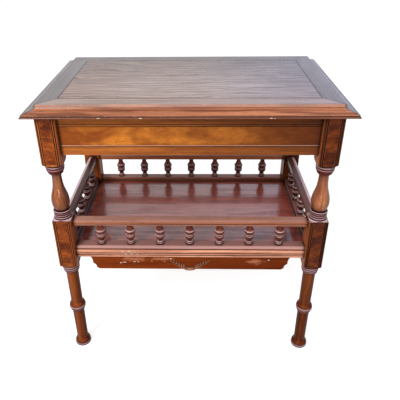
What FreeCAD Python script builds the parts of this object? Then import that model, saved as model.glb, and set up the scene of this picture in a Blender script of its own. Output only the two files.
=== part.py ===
import FreeCAD
import Part
import math
import os

# Two-tier side table in walnut: a moulded top on a frieze, four turned legs and a galleried shelf.
# Millimetres. +Z is up, +X is to the right and the front faces -Y. The origin is under the table's middle.
# A setback is measured inwards from the outer faces of the legs.

# Top
TOP_WIDTH = 740.0
TOP_DEPTH = 470.0
HEIGHT = 747.0
TOP_THICKNESS = 24.0
TOP_FLAT_BAND = 42.5
TOP_PANEL_THICKNESS = 16.0
OVERHANG_SIDE = 25.0
OVERHANG_FRONT = 19.0

# Moulding round the top: a step down, a hollow, a swell, a fillet, a quirk and a bead
ARRIS_RADIUS = 1.5
STEP_DROP = 6.0
HOLLOW_RUN = 8.5
HOLLOW_DROP = 5.5
SWELL_RUN = 13.0
SWELL_DROP = 4.5
FILLET_RUN = 3.5
FILLET_SETBACK = 2.5
FILLET_HEIGHT = 2.2
QUIRK = 1.4
EDGE_BEAD = 4.4
HOLLOW_BOW = 1.8
SWELL_BOW = 1.1

# Legs
LEG_SQUARE = 47.0
REED_WIDTH = 4.5
REED_DEPTH = 1.8
REED_EASE = 0.8
TURNING_MARGIN = 0.8
TURNED_STEP = 1.0
TURNED_GROOVE = 1.8
NECK_RADIUS = 11.9
SHAFT_TOP_RADIUS = 16.4
SHAFT_RADIUS = 16.0
ANKLE_RADIUS = 15.5
BLOCK_DOME = 6.0
BLOCK_FLARE = 3.0
FOOT_HEIGHT = 27.0
FOOT_BEAD = 6.5
COLLAR_BOTTOM = 132.0
COLLAR_REEDS = 13.5
COLLAR_BEAD = 4.0
COLLAR_SHOULDER = 17.0
HEM_REEDS = 21.0
HEM_SWELL = 1.3
CUP_REEDS = 22.4
CUP_HOLLOW = 1.6
CAP_REEDS = 23.0
CAP_SWELL = 2.6
REED_NECK = 4.0
REED_BOW = 2.0
COLLAR_REED_BOW = 1.3
OGEE_BOW = 1.0
UPPER_BLOCK_BELOW_FRIEZE = 20.0
LOWER_BLOCK_ABOVE_GALLERY = 7.0
LOWER_BLOCK_BELOW_SHELF = 22.0

# Frieze
FRIEZE_HEIGHT = 100.0
FRIEZE_SETBACK = 12.0
FRIEZE_THICKNESS = 22.0
FRIEZE_LOWER_STRIP = 22.0
FRIEZE_BAND = 46.0
FRIEZE_BEAD = 3.6
FRIEZE_BEAD_PROUD = 1.6
VENEER_THICKNESS = 1.2

# Shelf frame and shelf panel
SHELF_BOTTOM = 326.0
SHELF_RAIL_SETBACK = 9.0
SHELF_RAIL_INNER = 39.5
SHELF_OVOLO_RUN = 7.0
SHELF_OVOLO_DROP = 8.0
SHELF_OVOLO_SETBACK = 2.5
SHELF_OVOLO_BOW = 1.9
SHELF_BAND_HEIGHT = 11.5
SHELF_MID_BEAD = 4.5
SHELF_LOW_BEAD = 6.4
SHELF_REED_DEPTH = 2.0
SHELF_FLOOR_DROP = 13.5
SHELF_PANEL_THICKNESS = 10.0

# Gallery
GALLERY_RAIL_SETBACK = 11.5
GALLERY_RAIL_INNER = 39.0
GALLERY_RAIL_HEIGHT = 13.5
GALLERY_FLAT_SETBACK = 20.0
GALLERY_SLOPE_SETBACK = 2.0
GALLERY_SLOPE_BOW = 1.4
GALLERY_LIP = 4.4
SPINDLE_SETBACK = 28.0
SPINDLE_HEIGHT = 64.0
SPINDLE_RADIUS = 13.4
SPINDLE_DRUM = 12.2
SPINDLE_BASE = 9.4
SPINDLE_NECK = 6.8
SPINDLE_WAIST = 6.2
SPINDLE_END_LONG = 66.4
SPINDLE_END_SHORT = 53.2
SPINDLES_LONG = 7
SPINDLES_SHORT = 4
PIN_RADIUS = 3.8
PIN_LENGTH = 8.5

# Lower aprons; each cove at their ends has a run, a drop and a bow, from the top down
APRON_END_GAP = 32.0
APRON_THICKNESS = 14.0
APRON_SETBACK = 15.0
APRON_COVES = ((7.5, 18.0, 1.6), (8.5, 8.5, 1.0), (6.5, 4.5, 0.7))
APRON_STEP = 6.0
APRON_LOBE_WIDTH = 36.0
APRON_LOBE_DROP = 4.7

# Joints and clearances
TENON_THICKNESS = 8.0
TENON_GAP = 1.5
TENON_CLEARANCE = 0.15
FRIEZE_SHOULDER = 9.0
SHELF_SHOULDER = 6.0
GALLERY_SHOULDER = 3.0
TONGUE_THICKNESS = 5.0
TONGUE_LENGTH = 7.0
TONGUE_CLEARANCE = 0.15
BLIND_SPARE = 0.5
PANEL_GAP = 0.4
PIN_CLEARANCE = 0.1
VENEER_CLEARANCE = 0.05
MITRE_TONGUE_THICKNESS = 4.0
MITRE_TONGUE_LENGTH = 30.0
MITRE_TONGUE_WIDTH = 20.0
MITRE_TONGUE_DEPTH = 15.0

# Blocks and screws
TOP_BLOCK_LENGTH = 60.0
TOP_BLOCK_SIZE = 16.0
TOP_BLOCK_END_LONG = 108.0
TOP_BLOCK_END_SHORT = 94.0
TOP_BLOCKS_LONG = 3
TOP_BLOCKS_SHORT = 2
SCREW_SETBACK = 6.0
SCREW_RADIUS = 2.0
SCREW_HEAD_RADIUS = 4.0
SCREW_HEAD_HEIGHT = 2.6
SCREW_BITE = 8.0
SCREW_CLEARANCE = 0.1
APRON_BLOCK_LENGTH = 46.0
APRON_BLOCK_SIZE = 10.0
APRON_BLOCK_END = 86.0
APRON_BLOCKS = 3

# Levels and spans that follow from the sizes above
TOP_UNDERSIDE = HEIGHT - TOP_THICKNESS
TOP_MOULD_WIDTH = FILLET_SETBACK + FILLET_RUN + SWELL_RUN + HOLLOW_RUN
FRAME_WIDTH = TOP_FLAT_BAND + TOP_MOULD_WIDTH
LEG_SPAN_X = TOP_WIDTH - 2 * OVERHANG_SIDE
LEG_SPAN_Y = TOP_DEPTH - 2 * OVERHANG_FRONT
LEG_HALF = LEG_SQUARE / 2
RING_RADIUS = LEG_HALF - TURNING_MARGIN
CLEAR_SPAN_X = LEG_SPAN_X - 2 * LEG_SQUARE
CLEAR_SPAN_Y = LEG_SPAN_Y - 2 * LEG_SQUARE
APRON_LENGTH = CLEAR_SPAN_X - 2 * APRON_END_GAP
TENON_LENGTH = (LEG_SQUARE - TENON_THICKNESS) / 2 - TENON_GAP
FRIEZE_BOTTOM = TOP_UNDERSIDE - FRIEZE_HEIGHT
FRIEZE_BACK = FRIEZE_SETBACK + FRIEZE_THICKNESS
SHELF_RAIL_HEIGHT = SHELF_OVOLO_DROP + SHELF_BAND_HEIGHT + SHELF_MID_BEAD + SHELF_LOW_BEAD + 2 * QUIRK
SHELF_TOP = SHELF_BOTTOM + SHELF_RAIL_HEIGHT
SHELF_FLOOR = SHELF_TOP - SHELF_FLOOR_DROP
GALLERY_BOTTOM = SHELF_TOP + SPINDLE_HEIGHT
GALLERY_TOP = GALLERY_BOTTOM + GALLERY_RAIL_HEIGHT
UPPER_BLOCK_BOTTOM = FRIEZE_BOTTOM - UPPER_BLOCK_BELOW_FRIEZE
LOWER_BLOCK_TOP = GALLERY_TOP + LOWER_BLOCK_ABOVE_GALLERY
LOWER_BLOCK_BOTTOM = SHELF_BOTTOM - LOWER_BLOCK_BELOW_SHELF
ARRIS_EASE = ARRIS_RADIUS * (1 - math.sqrt(0.5))

# Where the rails' tenons stand in the legs, as heights of bottom and top
FRIEZE_TENON = (FRIEZE_BOTTOM + FRIEZE_SHOULDER, TOP_UNDERSIDE - FRIEZE_SHOULDER)
SHELF_TENON = (SHELF_BOTTOM + SHELF_SHOULDER, SHELF_TOP - SHELF_SHOULDER)
GALLERY_TENON = (GALLERY_BOTTOM + GALLERY_SHOULDER, GALLERY_TOP - GALLERY_SHOULDER)

# Each side: the turn from the front, the reach to the outside of the legs, the span between the legs
SIDES = {
    "front": (0, LEG_SPAN_Y / 2, CLEAR_SPAN_X),
    "right": (90, LEG_SPAN_X / 2, CLEAR_SPAN_Y),
    "back": (180, LEG_SPAN_Y / 2, CLEAR_SPAN_X),
    "left": (270, LEG_SPAN_X / 2, CLEAR_SPAN_Y),
}
LONG_SIDES = ("front", "back")
# Each corner: the turn from the front left leg, and the signs of X and Y there
CORNERS = {
    "front_left": (0, -1, -1),
    "front_right": (90, 1, -1),
    "back_right": (180, 1, 1),
    "back_left": (270, -1, 1),
}
UP = FreeCAD.Vector(0, 0, 1)
ORIGIN = FreeCAD.Vector(0, 0, 0)


def box(x0, x1, y0, y1, z0, z1):
    return Part.makeBox(x1 - x0, y1 - y0, z1 - z0, FreeCAD.Vector(x0, y0, z0))


def turned_about_z(shape, angle):
    turned = shape.copy()
    turned.rotate(ORIGIN, UP, angle)
    return turned


def spread(span, end, count):
    """Places along X, evenly apart, the first and last of them a set distance from the ends of a span."""
    pitch = (span - 2 * end) / (count - 1)
    return [end - span / 2 + i * pitch for i in range(count)]


def face_through(start, steps, place):
    """A face inside an outline: a point is a straight run, a pair an arc (middle, end), a list a curve."""
    edges = []
    here = start
    for step in steps:
        if isinstance(step, list):
            curve = Part.BSplineCurve()
            curve.interpolate([place(*point) for point in [here] + step])
            edges.append(curve.toShape())
            here = step[-1]
        elif isinstance(step[0], tuple):
            edges.append(Part.Arc(place(*here), place(*step[0]), place(*step[1])).toShape())
            here = step[1]
        else:
            edges.append(Part.makeLine(place(*here), place(*step)))
            here = step
    if here != start:
        edges.append(Part.makeLine(place(*here), place(*start)))
    return Part.Face(Part.Wire(edges))


def bowed(start, end, bow):
    """An arc from start to end with its middle pushed out to the right of the way it runs."""
    run = end[0] - start[0]
    rise = end[1] - start[1]
    length = math.hypot(run, rise)
    middle = ((start[0] + end[0]) / 2 + bow * rise / length, (start[1] + end[1]) / 2 - bow * run / length)
    return middle, end


def reeds(start, end, count, bow, swell):
    """Reeds, one after another, between two points, with the middle of the row swelled out by an amount."""
    points = []
    for i in range(count + 1):
        share = i / count
        out = 4 * swell * share * (1 - share)
        points.append((start[0] + share * (end[0] - start[0]) + out, start[1] + share * (end[1] - start[1])))
    return [bowed(points[i], points[i + 1], bow) for i in range(count)]


def ogee(start, end, bow):
    """A swell and then a hollow, along the straight line between two points."""
    middle = ((start[0] + end[0]) / 2, (start[1] + end[1]) / 2)
    return [bowed(start, middle, bow), bowed(middle, end, -bow)]


def turning(start, steps):
    """A solid of revolution about Z from an outline of (radius, height)."""
    face = face_through(start, steps, lambda r, z: FreeCAD.Vector(r, 0, z))
    return face.revolve(ORIGIN, UP, 360)


def rail(start, steps, reach, length):
    """A straight bar along X from a section of (setback, height)."""
    face = face_through(start, steps, lambda s, z: FreeCAD.Vector(-length / 2, s - reach, z))
    return face.extrude(FreeCAD.Vector(length, 0, 0))


def with_tenons(bar, reach, span, heights):
    """The bar with a stub tenon on each end, on the line of the legs' axes."""
    near = LEG_HALF - TENON_THICKNESS / 2 - reach
    far = near + TENON_THICKNESS
    end = span / 2 + TENON_LENGTH
    left = box(-end, -span / 2, near, far, *heights)
    right = box(span / 2, end, near, far, *heights)
    return bar.fuse([left, right]).removeSplitter()


def tongued_panel(width, depth, top, thickness):
    """A flat panel with a tongue on all four edges."""
    field = box(-width / 2, width / 2, -depth / 2, depth / 2, top - thickness, top)
    reach_x = width / 2 + PANEL_GAP + TONGUE_LENGTH
    reach_y = depth / 2 + PANEL_GAP + TONGUE_LENGTH
    low, high = tongue_levels(top, thickness)
    return field.fuse(box(-reach_x, reach_x, -reach_y, reach_y, low, high))


def tongue_levels(top, thickness):
    middle = top - thickness / 2
    return middle - TONGUE_THICKNESS / 2, middle + TONGUE_THICKNESS / 2


def groove(inner, top, thickness):
    """Steps up the inner edge of a frame member, in and out of the groove for a panel's tongue."""
    low, high = tongue_levels(top, thickness)
    bottom = inner - TONGUE_LENGTH - BLIND_SPARE
    return [
        (inner, low - TONGUE_CLEARANCE),
        (bottom, low - TONGUE_CLEARANCE),
        (bottom, high + TONGUE_CLEARANCE),
        (inner, high + TONGUE_CLEARANCE),
    ]


def top_frame_section():
    """The top frame's section as (distance from the outer edge, height), from the flat band outwards."""
    edge = TOP_MOULD_WIDTH
    step_foot = (edge, HEIGHT - STEP_DROP)
    hollow_foot = (edge - HOLLOW_RUN, step_foot[1] - HOLLOW_DROP)
    swell_foot = (hollow_foot[0] - SWELL_RUN, hollow_foot[1] - SWELL_DROP)
    fillet_foot = swell_foot[1] - FILLET_HEIGHT
    bead_top = (EDGE_BEAD / 2, TOP_UNDERSIDE + EDGE_BEAD)
    quirk = FILLET_SETBACK + QUIRK
    steps = [
        (edge + ARRIS_RADIUS, HEIGHT),
        ((edge + ARRIS_EASE, HEIGHT - ARRIS_EASE), (edge, HEIGHT - ARRIS_RADIUS)),
        step_foot,
        bowed(step_foot, hollow_foot, -HOLLOW_BOW),
        bowed(hollow_foot, swell_foot, SWELL_BOW),
        (FILLET_SETBACK, swell_foot[1]),
        (FILLET_SETBACK, fillet_foot),
        (quirk, fillet_foot),
        (quirk, bead_top[1]),
        bead_top,
        ((0, TOP_UNDERSIDE + EDGE_BEAD / 2), (EDGE_BEAD / 2, TOP_UNDERSIDE)),
        (FRAME_WIDTH, TOP_UNDERSIDE),
    ]
    return (FRAME_WIDTH, HEIGHT), steps + groove(FRAME_WIDTH, HEIGHT, TOP_PANEL_THICKNESS)


def top_frame_member(side):
    """One mitred member, with slots for the loose tongues and pilot holes for the fixing screws."""
    along, across = (TOP_WIDTH, TOP_DEPTH) if side in LONG_SIDES else (TOP_DEPTH, TOP_WIDTH)
    angle = SIDES[side][0]
    outer = -across / 2
    start, steps = top_frame_section()
    bar = rail(start, steps, across / 2, along)
    plan = [
        FreeCAD.Vector(-along / 2, outer, TOP_UNDERSIDE),
        FreeCAD.Vector(along / 2, outer, TOP_UNDERSIDE),
        FreeCAD.Vector(along / 2 - FRAME_WIDTH, outer + FRAME_WIDTH, TOP_UNDERSIDE),
        FreeCAD.Vector(-along / 2 + FRAME_WIDTH, outer + FRAME_WIDTH, TOP_UNDERSIDE),
    ]
    mitred = Part.Face(Part.makePolygon(plan + plan[:1])).extrude(FreeCAD.Vector(0, 0, TOP_THICKNESS))
    cuts = [mitre_tongue(corner, TONGUE_CLEARANCE) for corner in CORNERS]
    for x, y in top_fixings(side):
        foot = FreeCAD.Vector(x, y, TOP_UNDERSIDE)
        pilot = Part.makeCylinder(SCREW_RADIUS + SCREW_CLEARANCE, SCREW_BITE + BLIND_SPARE, foot)
        cuts.append(turned_about_z(pilot, angle))
    return turned_about_z(bar.common(mitred), angle).cut(cuts)


def mitre_tongue(corner, clearance):
    """A flat loose tongue across the mitre at one corner, grown by a clearance when it cuts its slot."""
    sign_x, sign_y = CORNERS[corner][1:]
    half_length = MITRE_TONGUE_LENGTH / 2 + clearance
    half_width = MITRE_TONGUE_WIDTH / 2 + clearance
    top = HEIGHT - MITRE_TONGUE_DEPTH
    bottom = top - MITRE_TONGUE_THICKNESS
    flat = box(-half_length, half_length, -half_width, half_width, bottom - clearance, top + clearance)
    tongue = turned_about_z(flat, 45 * sign_x * sign_y)
    mitre_x = (TOP_WIDTH - FRAME_WIDTH) / 2
    mitre_y = (TOP_DEPTH - FRAME_WIDTH) / 2
    tongue.translate(FreeCAD.Vector(sign_x * mitre_x, sign_y * mitre_y, 0))
    return tongue


def top_fixings(side):
    """Where the screws go up into the top, seen with this side at the front."""
    reach, span = SIDES[side][1:]
    y = FRIEZE_BACK + SCREW_SETBACK - reach
    if side in LONG_SIDES:
        return [(x, y) for x in spread(span, TOP_BLOCK_END_LONG, TOP_BLOCKS_LONG)]
    return [(x, y) for x in spread(span, TOP_BLOCK_END_SHORT, TOP_BLOCKS_SHORT)]


def screw(x, y, clearance):
    """A countersunk wood screw, pointing up, its head flush with the underside of a top block."""
    head = SCREW_HEAD_RADIUS + clearance
    shank = SCREW_RADIUS + clearance
    tip = TOP_BLOCK_SIZE + SCREW_BITE
    body = turning((0, 0), [(head, 0), (shank, SCREW_HEAD_HEIGHT), (shank, tip - SCREW_RADIUS), (0, tip)])
    body.translate(FreeCAD.Vector(x, y, TOP_UNDERSIDE - TOP_BLOCK_SIZE))
    return body


def top_block(x, side):
    """A square block in the angle of frieze and top, seen with its side at the front."""
    front = FRIEZE_BACK - SIDES[side][1]
    half = TOP_BLOCK_LENGTH / 2
    bottom = TOP_UNDERSIDE - TOP_BLOCK_SIZE
    return box(x - half, x + half, front, front + TOP_BLOCK_SIZE, bottom, TOP_UNDERSIDE)


def frieze_rail(side):
    """A frieze rail with two beads, each over a quirk, and a shallow bed for the veneer between them."""
    reach, span = SIDES[side][1:]
    face = FRIEZE_SETBACK
    lower = FRIEZE_BOTTOM + FRIEZE_LOWER_STRIP
    upper = lower + FRIEZE_BEAD + FRIEZE_BAND
    bed = face + VENEER_THICKNESS
    steps = [
        (face, lower - QUIRK),
        (face + QUIRK, lower - QUIRK / 2),
        (face, lower),
        bowed((face, lower), (face, lower + FRIEZE_BEAD), -FRIEZE_BEAD_PROUD),
        (bed, lower + FRIEZE_BEAD),
        (bed, upper - QUIRK),
        (face + QUIRK, upper - QUIRK / 2),
        (face, upper),
        bowed((face, upper), (face, upper + FRIEZE_BEAD), -FRIEZE_BEAD_PROUD),
        (face, TOP_UNDERSIDE),
        (FRIEZE_BACK, TOP_UNDERSIDE),
        (FRIEZE_BACK, FRIEZE_BOTTOM),
    ]
    return with_tenons(rail((face, FRIEZE_BOTTOM), steps, reach, span), reach, span, FRIEZE_TENON)


def frieze_veneer(side):
    """The figured veneer band, flush with the rail's face."""
    reach, span = SIDES[side][1:]
    half = span / 2 - VENEER_CLEARANCE
    bed_bottom = FRIEZE_BOTTOM + FRIEZE_LOWER_STRIP + FRIEZE_BEAD
    bed_top = bed_bottom + FRIEZE_BAND - QUIRK
    front = FRIEZE_SETBACK - reach
    back = front + VENEER_THICKNESS - VENEER_CLEARANCE
    return box(-half, half, front, back, bed_bottom + VENEER_CLEARANCE, bed_top - VENEER_CLEARANCE)


def shelf_rail(side, places):
    """A shelf frame rail: an ovolo, a quirk, a broad band and two beads outside, a panel groove inside."""
    reach, span = SIDES[side][1:]
    valley = SHELF_RAIL_SETBACK + SHELF_REED_DEPTH
    ovolo_foot = (SHELF_RAIL_SETBACK + SHELF_OVOLO_SETBACK, SHELF_TOP - SHELF_OVOLO_DROP)
    ovolo_head = (ovolo_foot[0] + SHELF_OVOLO_RUN, SHELF_TOP)
    band_top = ovolo_foot[1] - QUIRK
    mid_top = band_top - SHELF_BAND_HEIGHT
    mid_foot = mid_top - SHELF_MID_BEAD
    low_top = SHELF_BOTTOM + SHELF_LOW_BEAD
    inner = SHELF_RAIL_INNER
    arris = (inner - ARRIS_RADIUS, SHELF_TOP)
    steps = [
        ((inner - ARRIS_EASE, SHELF_TOP - ARRIS_EASE), arris),
        ovolo_head,
        bowed(ovolo_head, ovolo_foot, SHELF_OVOLO_BOW),
        (ovolo_foot[0] + SHELF_REED_DEPTH, ovolo_foot[1]),
        (ovolo_foot[0] + SHELF_REED_DEPTH, band_top),
        (valley, band_top),
        bowed((valley, band_top), (valley, mid_top), SHELF_REED_DEPTH),
        bowed((valley, mid_top), (valley, mid_foot), SHELF_REED_DEPTH),
        (valley + QUIRK, mid_foot),
        (valley + QUIRK, low_top),
        (valley, low_top),
        bowed((valley, low_top), (valley, SHELF_BOTTOM), SHELF_REED_DEPTH),
        (inner, SHELF_BOTTOM),
    ]
    steps += groove(inner, SHELF_FLOOR, SHELF_PANEL_THICKNESS)
    bar = rail((inner, SHELF_TOP - ARRIS_RADIUS), steps, reach, span)
    return with_tenons(bar, reach, span, SHELF_TENON).cut(pin_holes(places, reach, SHELF_TOP, -1))


def gallery_rail(side, places):
    """A gallery rail: flat on top, a rounded slope outside down to a quirk, and a small lip below it."""
    reach, span = SIDES[side][1:]
    inner = GALLERY_RAIL_INNER
    lip = GALLERY_LIP / 2
    lip_face = GALLERY_RAIL_SETBACK + lip
    lip_top = (lip_face, GALLERY_BOTTOM + GALLERY_LIP)
    slope_foot = (GALLERY_RAIL_SETBACK + GALLERY_SLOPE_SETBACK, lip_top[1] + QUIRK)
    slope_head = (GALLERY_FLAT_SETBACK, GALLERY_TOP)
    steps = [
        ((inner - ARRIS_EASE, GALLERY_TOP - ARRIS_EASE), (inner - ARRIS_RADIUS, GALLERY_TOP)),
        slope_head,
        bowed(slope_head, slope_foot, GALLERY_SLOPE_BOW),
        (slope_foot[0] + QUIRK, slope_foot[1]),
        (slope_foot[0] + QUIRK, lip_top[1]),
        lip_top,
        ((GALLERY_RAIL_SETBACK, GALLERY_BOTTOM + lip), (lip_face, GALLERY_BOTTOM)),
        (inner, GALLERY_BOTTOM),
    ]
    bar = rail((inner, GALLERY_TOP - ARRIS_RADIUS), steps, reach, span)
    return with_tenons(bar, reach, span, GALLERY_TENON).cut(pin_holes(places, reach, GALLERY_BOTTOM, 1))


def pin_holes(places, reach, level, way):
    """Blind holes for the spindles' pins, going up or down from a level."""
    holes = []
    for x in places:
        mouth = FreeCAD.Vector(x, SPINDLE_SETBACK - reach, level)
        hole = Part.makeCylinder(PIN_RADIUS + PIN_CLEARANCE, PIN_LENGTH + BLIND_SPARE, mouth, UP * way)
        holes.append(hole)
    return holes


def spindle_places(side):
    span = SIDES[side][2]
    if side in LONG_SIDES:
        return spread(span, SPINDLE_END_LONG, SPINDLES_LONG)
    return spread(span, SPINDLE_END_SHORT, SPINDLES_SHORT)


def spindle(x, reach):
    """A turned urn on a spread base, with a round pin at each end. Heights are shares of its own height."""
    def at(radius, share):
        return radius, share * SPINDLE_HEIGHT

    rim = SPINDLE_BASE - TURNED_STEP
    ring = (SPINDLE_BASE + SPINDLE_WAIST) / 2
    swell = (2 * SPINDLE_DRUM + SPINDLE_WAIST) / 3
    groove_floor = SPINDLE_DRUM - TURNED_GROOVE
    bell = (SPINDLE_DRUM + SPINDLE_NECK) / 2
    steps = [
        (PIN_RADIUS, -PIN_LENGTH),
        (PIN_RADIUS, 0),
        at(rim, 0),
        [at(SPINDLE_BASE, 0.04), at(rim, 0.08)],
        at(ring, 0.095),
        [at(rim, 0.12), at(ring, 0.145)],
        [at(SPINDLE_WAIST, 0.205), at(swell, 0.285), at(SPINDLE_DRUM, 0.385), at(SPINDLE_DRUM, 0.425)],
        at(SPINDLE_DRUM - TURNED_STEP, 0.44),
        [at(SPINDLE_DRUM, 0.475), at(groove_floor, 0.51)],
        at(groove_floor, 0.545),
        [at(SPINDLE_RADIUS, 0.615), at(SPINDLE_DRUM - TURNED_STEP, 0.69)],
        [at(bell - TURNED_STEP / 2, 0.76), at(SPINDLE_NECK, 0.84)],
        at(SPINDLE_NECK, 0.92),
        at(SPINDLE_NECK + TURNED_STEP, 1),
        at(PIN_RADIUS, 1),
        (PIN_RADIUS, SPINDLE_HEIGHT + PIN_LENGTH),
        (0, SPINDLE_HEIGHT + PIN_LENGTH),
    ]
    body = turning((0, -PIN_LENGTH), steps)
    body.translate(FreeCAD.Vector(x, SPINDLE_SETBACK - reach, SHELF_TOP))
    return body


def reeded_square():
    """The leg's square section: two reeds along each edge of the two outer faces, plain inner faces."""
    h = LEG_HALF
    corner = REED_WIDTH + REED_DEPTH - math.sqrt(2 * REED_WIDTH * REED_DEPTH)
    bow = corner * (1 - math.sqrt(0.5))
    valley = REED_DEPTH - h
    first = h - REED_WIDTH
    crest = h - 1.5 * REED_WIDTH
    second = h - 2 * REED_WIDTH
    flat = second - REED_EASE
    steps = [
        (h, corner - h),
        ((h - bow, bow - h), (first, valley)),
        ((crest, -h), (second, valley)),
        (flat, -h),
        (-flat, -h),
        (-second, valley),
        ((-crest, -h), (-first, valley)),
        ((bow - h, bow - h), (valley, -first)),
        ((-h, -crest), (valley, -second)),
        (-h, -flat),
        (-h, flat),
        (valley, second),
        ((-h, crest), (valley, first)),
        ((bow - h, h - bow), (corner - h, h)),
    ]
    return face_through((h, h), steps, lambda x, y: FreeCAD.Vector(x, y, 0))


def foot_and_shaft():
    """The turning from the floor up to the lower block: foot, ankle, collar, shaft and a hem of reeds."""
    ring = RING_RADIUS
    step = TURNED_STEP
    foot_start = (ring - step, FOOT_BEAD)
    collar_reeds_top = (ring - step, COLLAR_BOTTOM + COLLAR_REEDS)
    collar_bead_top = (ring - step, collar_reeds_top[1] + COLLAR_BEAD)
    collar_top = (SHAFT_RADIUS, collar_bead_top[1] + COLLAR_SHOULDER)
    collar_start = (SHAFT_RADIUS + step, COLLAR_BOTTOM)
    hem_top = (ring - 2 * step, LOWER_BLOCK_BOTTOM - BLOCK_DOME - REED_NECK)
    hem_start = (SHAFT_TOP_RADIUS + step, hem_top[1] - HEM_REEDS)
    foot_shoulder = (ring - step, FOOT_BEAD + TURNED_GROOVE)
    steps = [
        (ring - step, 0),
        bowed((ring - step, 0), foot_start, step),
        (ring - step - TURNED_GROOVE, FOOT_BEAD + TURNED_GROOVE / 2),
        foot_shoulder,
    ]
    steps += ogee(foot_shoulder, (ANKLE_RADIUS, FOOT_HEIGHT), OGEE_BOW)
    steps += [(SHAFT_RADIUS, COLLAR_BOTTOM), collar_start]
    steps += reeds(collar_start, collar_reeds_top, 3, COLLAR_REED_BOW, 0)
    steps.append(bowed(collar_reeds_top, collar_bead_top, step))
    steps += ogee(collar_bead_top, collar_top, OGEE_BOW)
    steps += [(SHAFT_TOP_RADIUS, hem_start[1]), hem_start]
    return steps + reeds(hem_start, hem_top, 3, REED_BOW, HEM_SWELL)


def vase():
    """The turning between the blocks: a cup of reeds, a vase with a slim neck, and a cap of reeds."""
    ring = RING_RADIUS
    step = TURNED_STEP
    cup_start = (ring - 2 * step, LOWER_BLOCK_TOP + BLOCK_FLARE)
    cup_top = (ring - 2 * step, cup_start[1] + CUP_REEDS)
    cap_top = (ring - 2 * step, UPPER_BLOCK_BOTTOM - BLOCK_DOME - REED_NECK)
    cap_start = (NECK_RADIUS + 2 * step, cap_top[1] - CAP_REEDS)
    length = cap_start[1] - cup_top[1]

    def swell(slimness, share):
        return ring - slimness * (ring - NECK_RADIUS), cup_top[1] + share * length

    steps = [cup_start] + reeds(cup_start, cup_top, 4, REED_BOW, -CUP_HOLLOW)
    steps.append(swell(0.64, 0))
    belly = [swell(0.34, 0.06), swell(0.09, 0.16), swell(0.04, 0.27)]
    neck = [swell(0.27, 0.43), swell(0.73, 0.6), swell(0.96, 0.78), swell(1, 1)]
    steps.append(belly + neck)
    steps.append(cap_start)
    return steps + reeds(cap_start, cap_top, 3, REED_BOW, CAP_SWELL)


def leg_turning():
    """The whole lathe work of a leg, left wider than the square over the two blocks."""
    free = LEG_SQUARE * math.sqrt(0.52)
    ring = RING_RADIUS
    neck = ring - 2 * TURNED_STEP - TURNED_GROOVE
    lower_dome = (ring, LOWER_BLOCK_BOTTOM - BLOCK_DOME)
    flare_top = (ring, LOWER_BLOCK_TOP + BLOCK_FLARE)
    upper_dome = (ring, UPPER_BLOCK_BOTTOM - BLOCK_DOME)
    steps = foot_and_shaft()
    steps += [(neck, lower_dome[1] - REED_NECK), (neck, lower_dome[1]), lower_dome]
    steps.append(bowed(lower_dome, (free, LOWER_BLOCK_BOTTOM), TURNED_STEP))
    steps += [(free, LOWER_BLOCK_TOP), bowed((free, LOWER_BLOCK_TOP), flare_top, -TURNED_STEP)]
    steps += vase()
    steps += [(neck, upper_dome[1] - REED_NECK), (neck, upper_dome[1]), upper_dome]
    steps.append(bowed(upper_dome, (free, UPPER_BLOCK_BOTTOM), TURNED_STEP))
    steps += [(free, TOP_UNDERSIDE), (0, TOP_UNDERSIDE)]
    return turning((0, 0), steps)


def block_panels(clearance):
    """The veneer beds on the outer faces of both blocks, or, with a clearance, the veneers in them."""
    half = LEG_HALF - 2 * REED_WIDTH - 2 * REED_EASE - clearance
    outer = -LEG_HALF
    inner = outer + VENEER_THICKNESS - clearance
    panels = []
    for bottom, top in ((LOWER_BLOCK_BOTTOM, LOWER_BLOCK_TOP), (UPPER_BLOCK_BOTTOM, TOP_UNDERSIDE)):
        low = bottom + clearance
        high = top - clearance
        panels.append(box(-half, half, outer, inner, low, high))
        panels.append(box(outer, inner, -half, half, low, high))
    return panels


def leg():
    """One leg about its own axis, with its outer faces to -X and -Y and its mortises in the other two."""
    square = reeded_square().extrude(FreeCAD.Vector(0, 0, TOP_UNDERSIDE))
    cuts = block_panels(0)
    half = TENON_THICKNESS / 2 + TENON_CLEARANCE
    floor = LEG_HALF - TENON_LENGTH - BLIND_SPARE
    for bottom, top in (FRIEZE_TENON, SHELF_TENON, GALLERY_TENON):
        low = bottom - TENON_CLEARANCE
        high = top + TENON_CLEARANCE
        cuts.append(box(floor, LEG_HALF, -half, half, low, high))
        cuts.append(box(-half, half, floor, LEG_HALF, low, high))
    return leg_turning().common(square).cut(cuts)


def at_corner(shape, corner):
    angle, sign_x, sign_y = CORNERS[corner]
    placed = turned_about_z(shape, angle)
    axis_x = LEG_SPAN_X / 2 - LEG_HALF
    axis_y = LEG_SPAN_Y / 2 - LEG_HALF
    placed.translate(FreeCAD.Vector(sign_x * axis_x, sign_y * axis_y, 0))
    return placed


def shelf_panel():
    """The shelf floor, tongued into the shelf frame and notched round the four legs."""
    width = LEG_SPAN_X - 2 * SHELF_RAIL_INNER - 2 * PANEL_GAP
    depth = LEG_SPAN_Y - 2 * SHELF_RAIL_INNER - 2 * PANEL_GAP
    panel = tongued_panel(width, depth, SHELF_FLOOR, SHELF_PANEL_THICKNESS)
    reach = LEG_HALF + PANEL_GAP
    notch = box(-reach, reach, -reach, reach, SHELF_BOTTOM, SHELF_TOP)
    return panel.cut([at_corner(notch, corner) for corner in CORNERS])


def mirrored(start, steps):
    """The mirror image, across X = 0, of points and arcs that run on from start, followed backwards."""
    back = []
    here = start
    for step in steps:
        arc = isinstance(step[0], tuple)
        end = (-here[0], here[1])
        back.append(((-step[0][0], step[0][1]), end) if arc else end)
        here = step[1] if arc else step
    return back[::-1]


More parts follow.
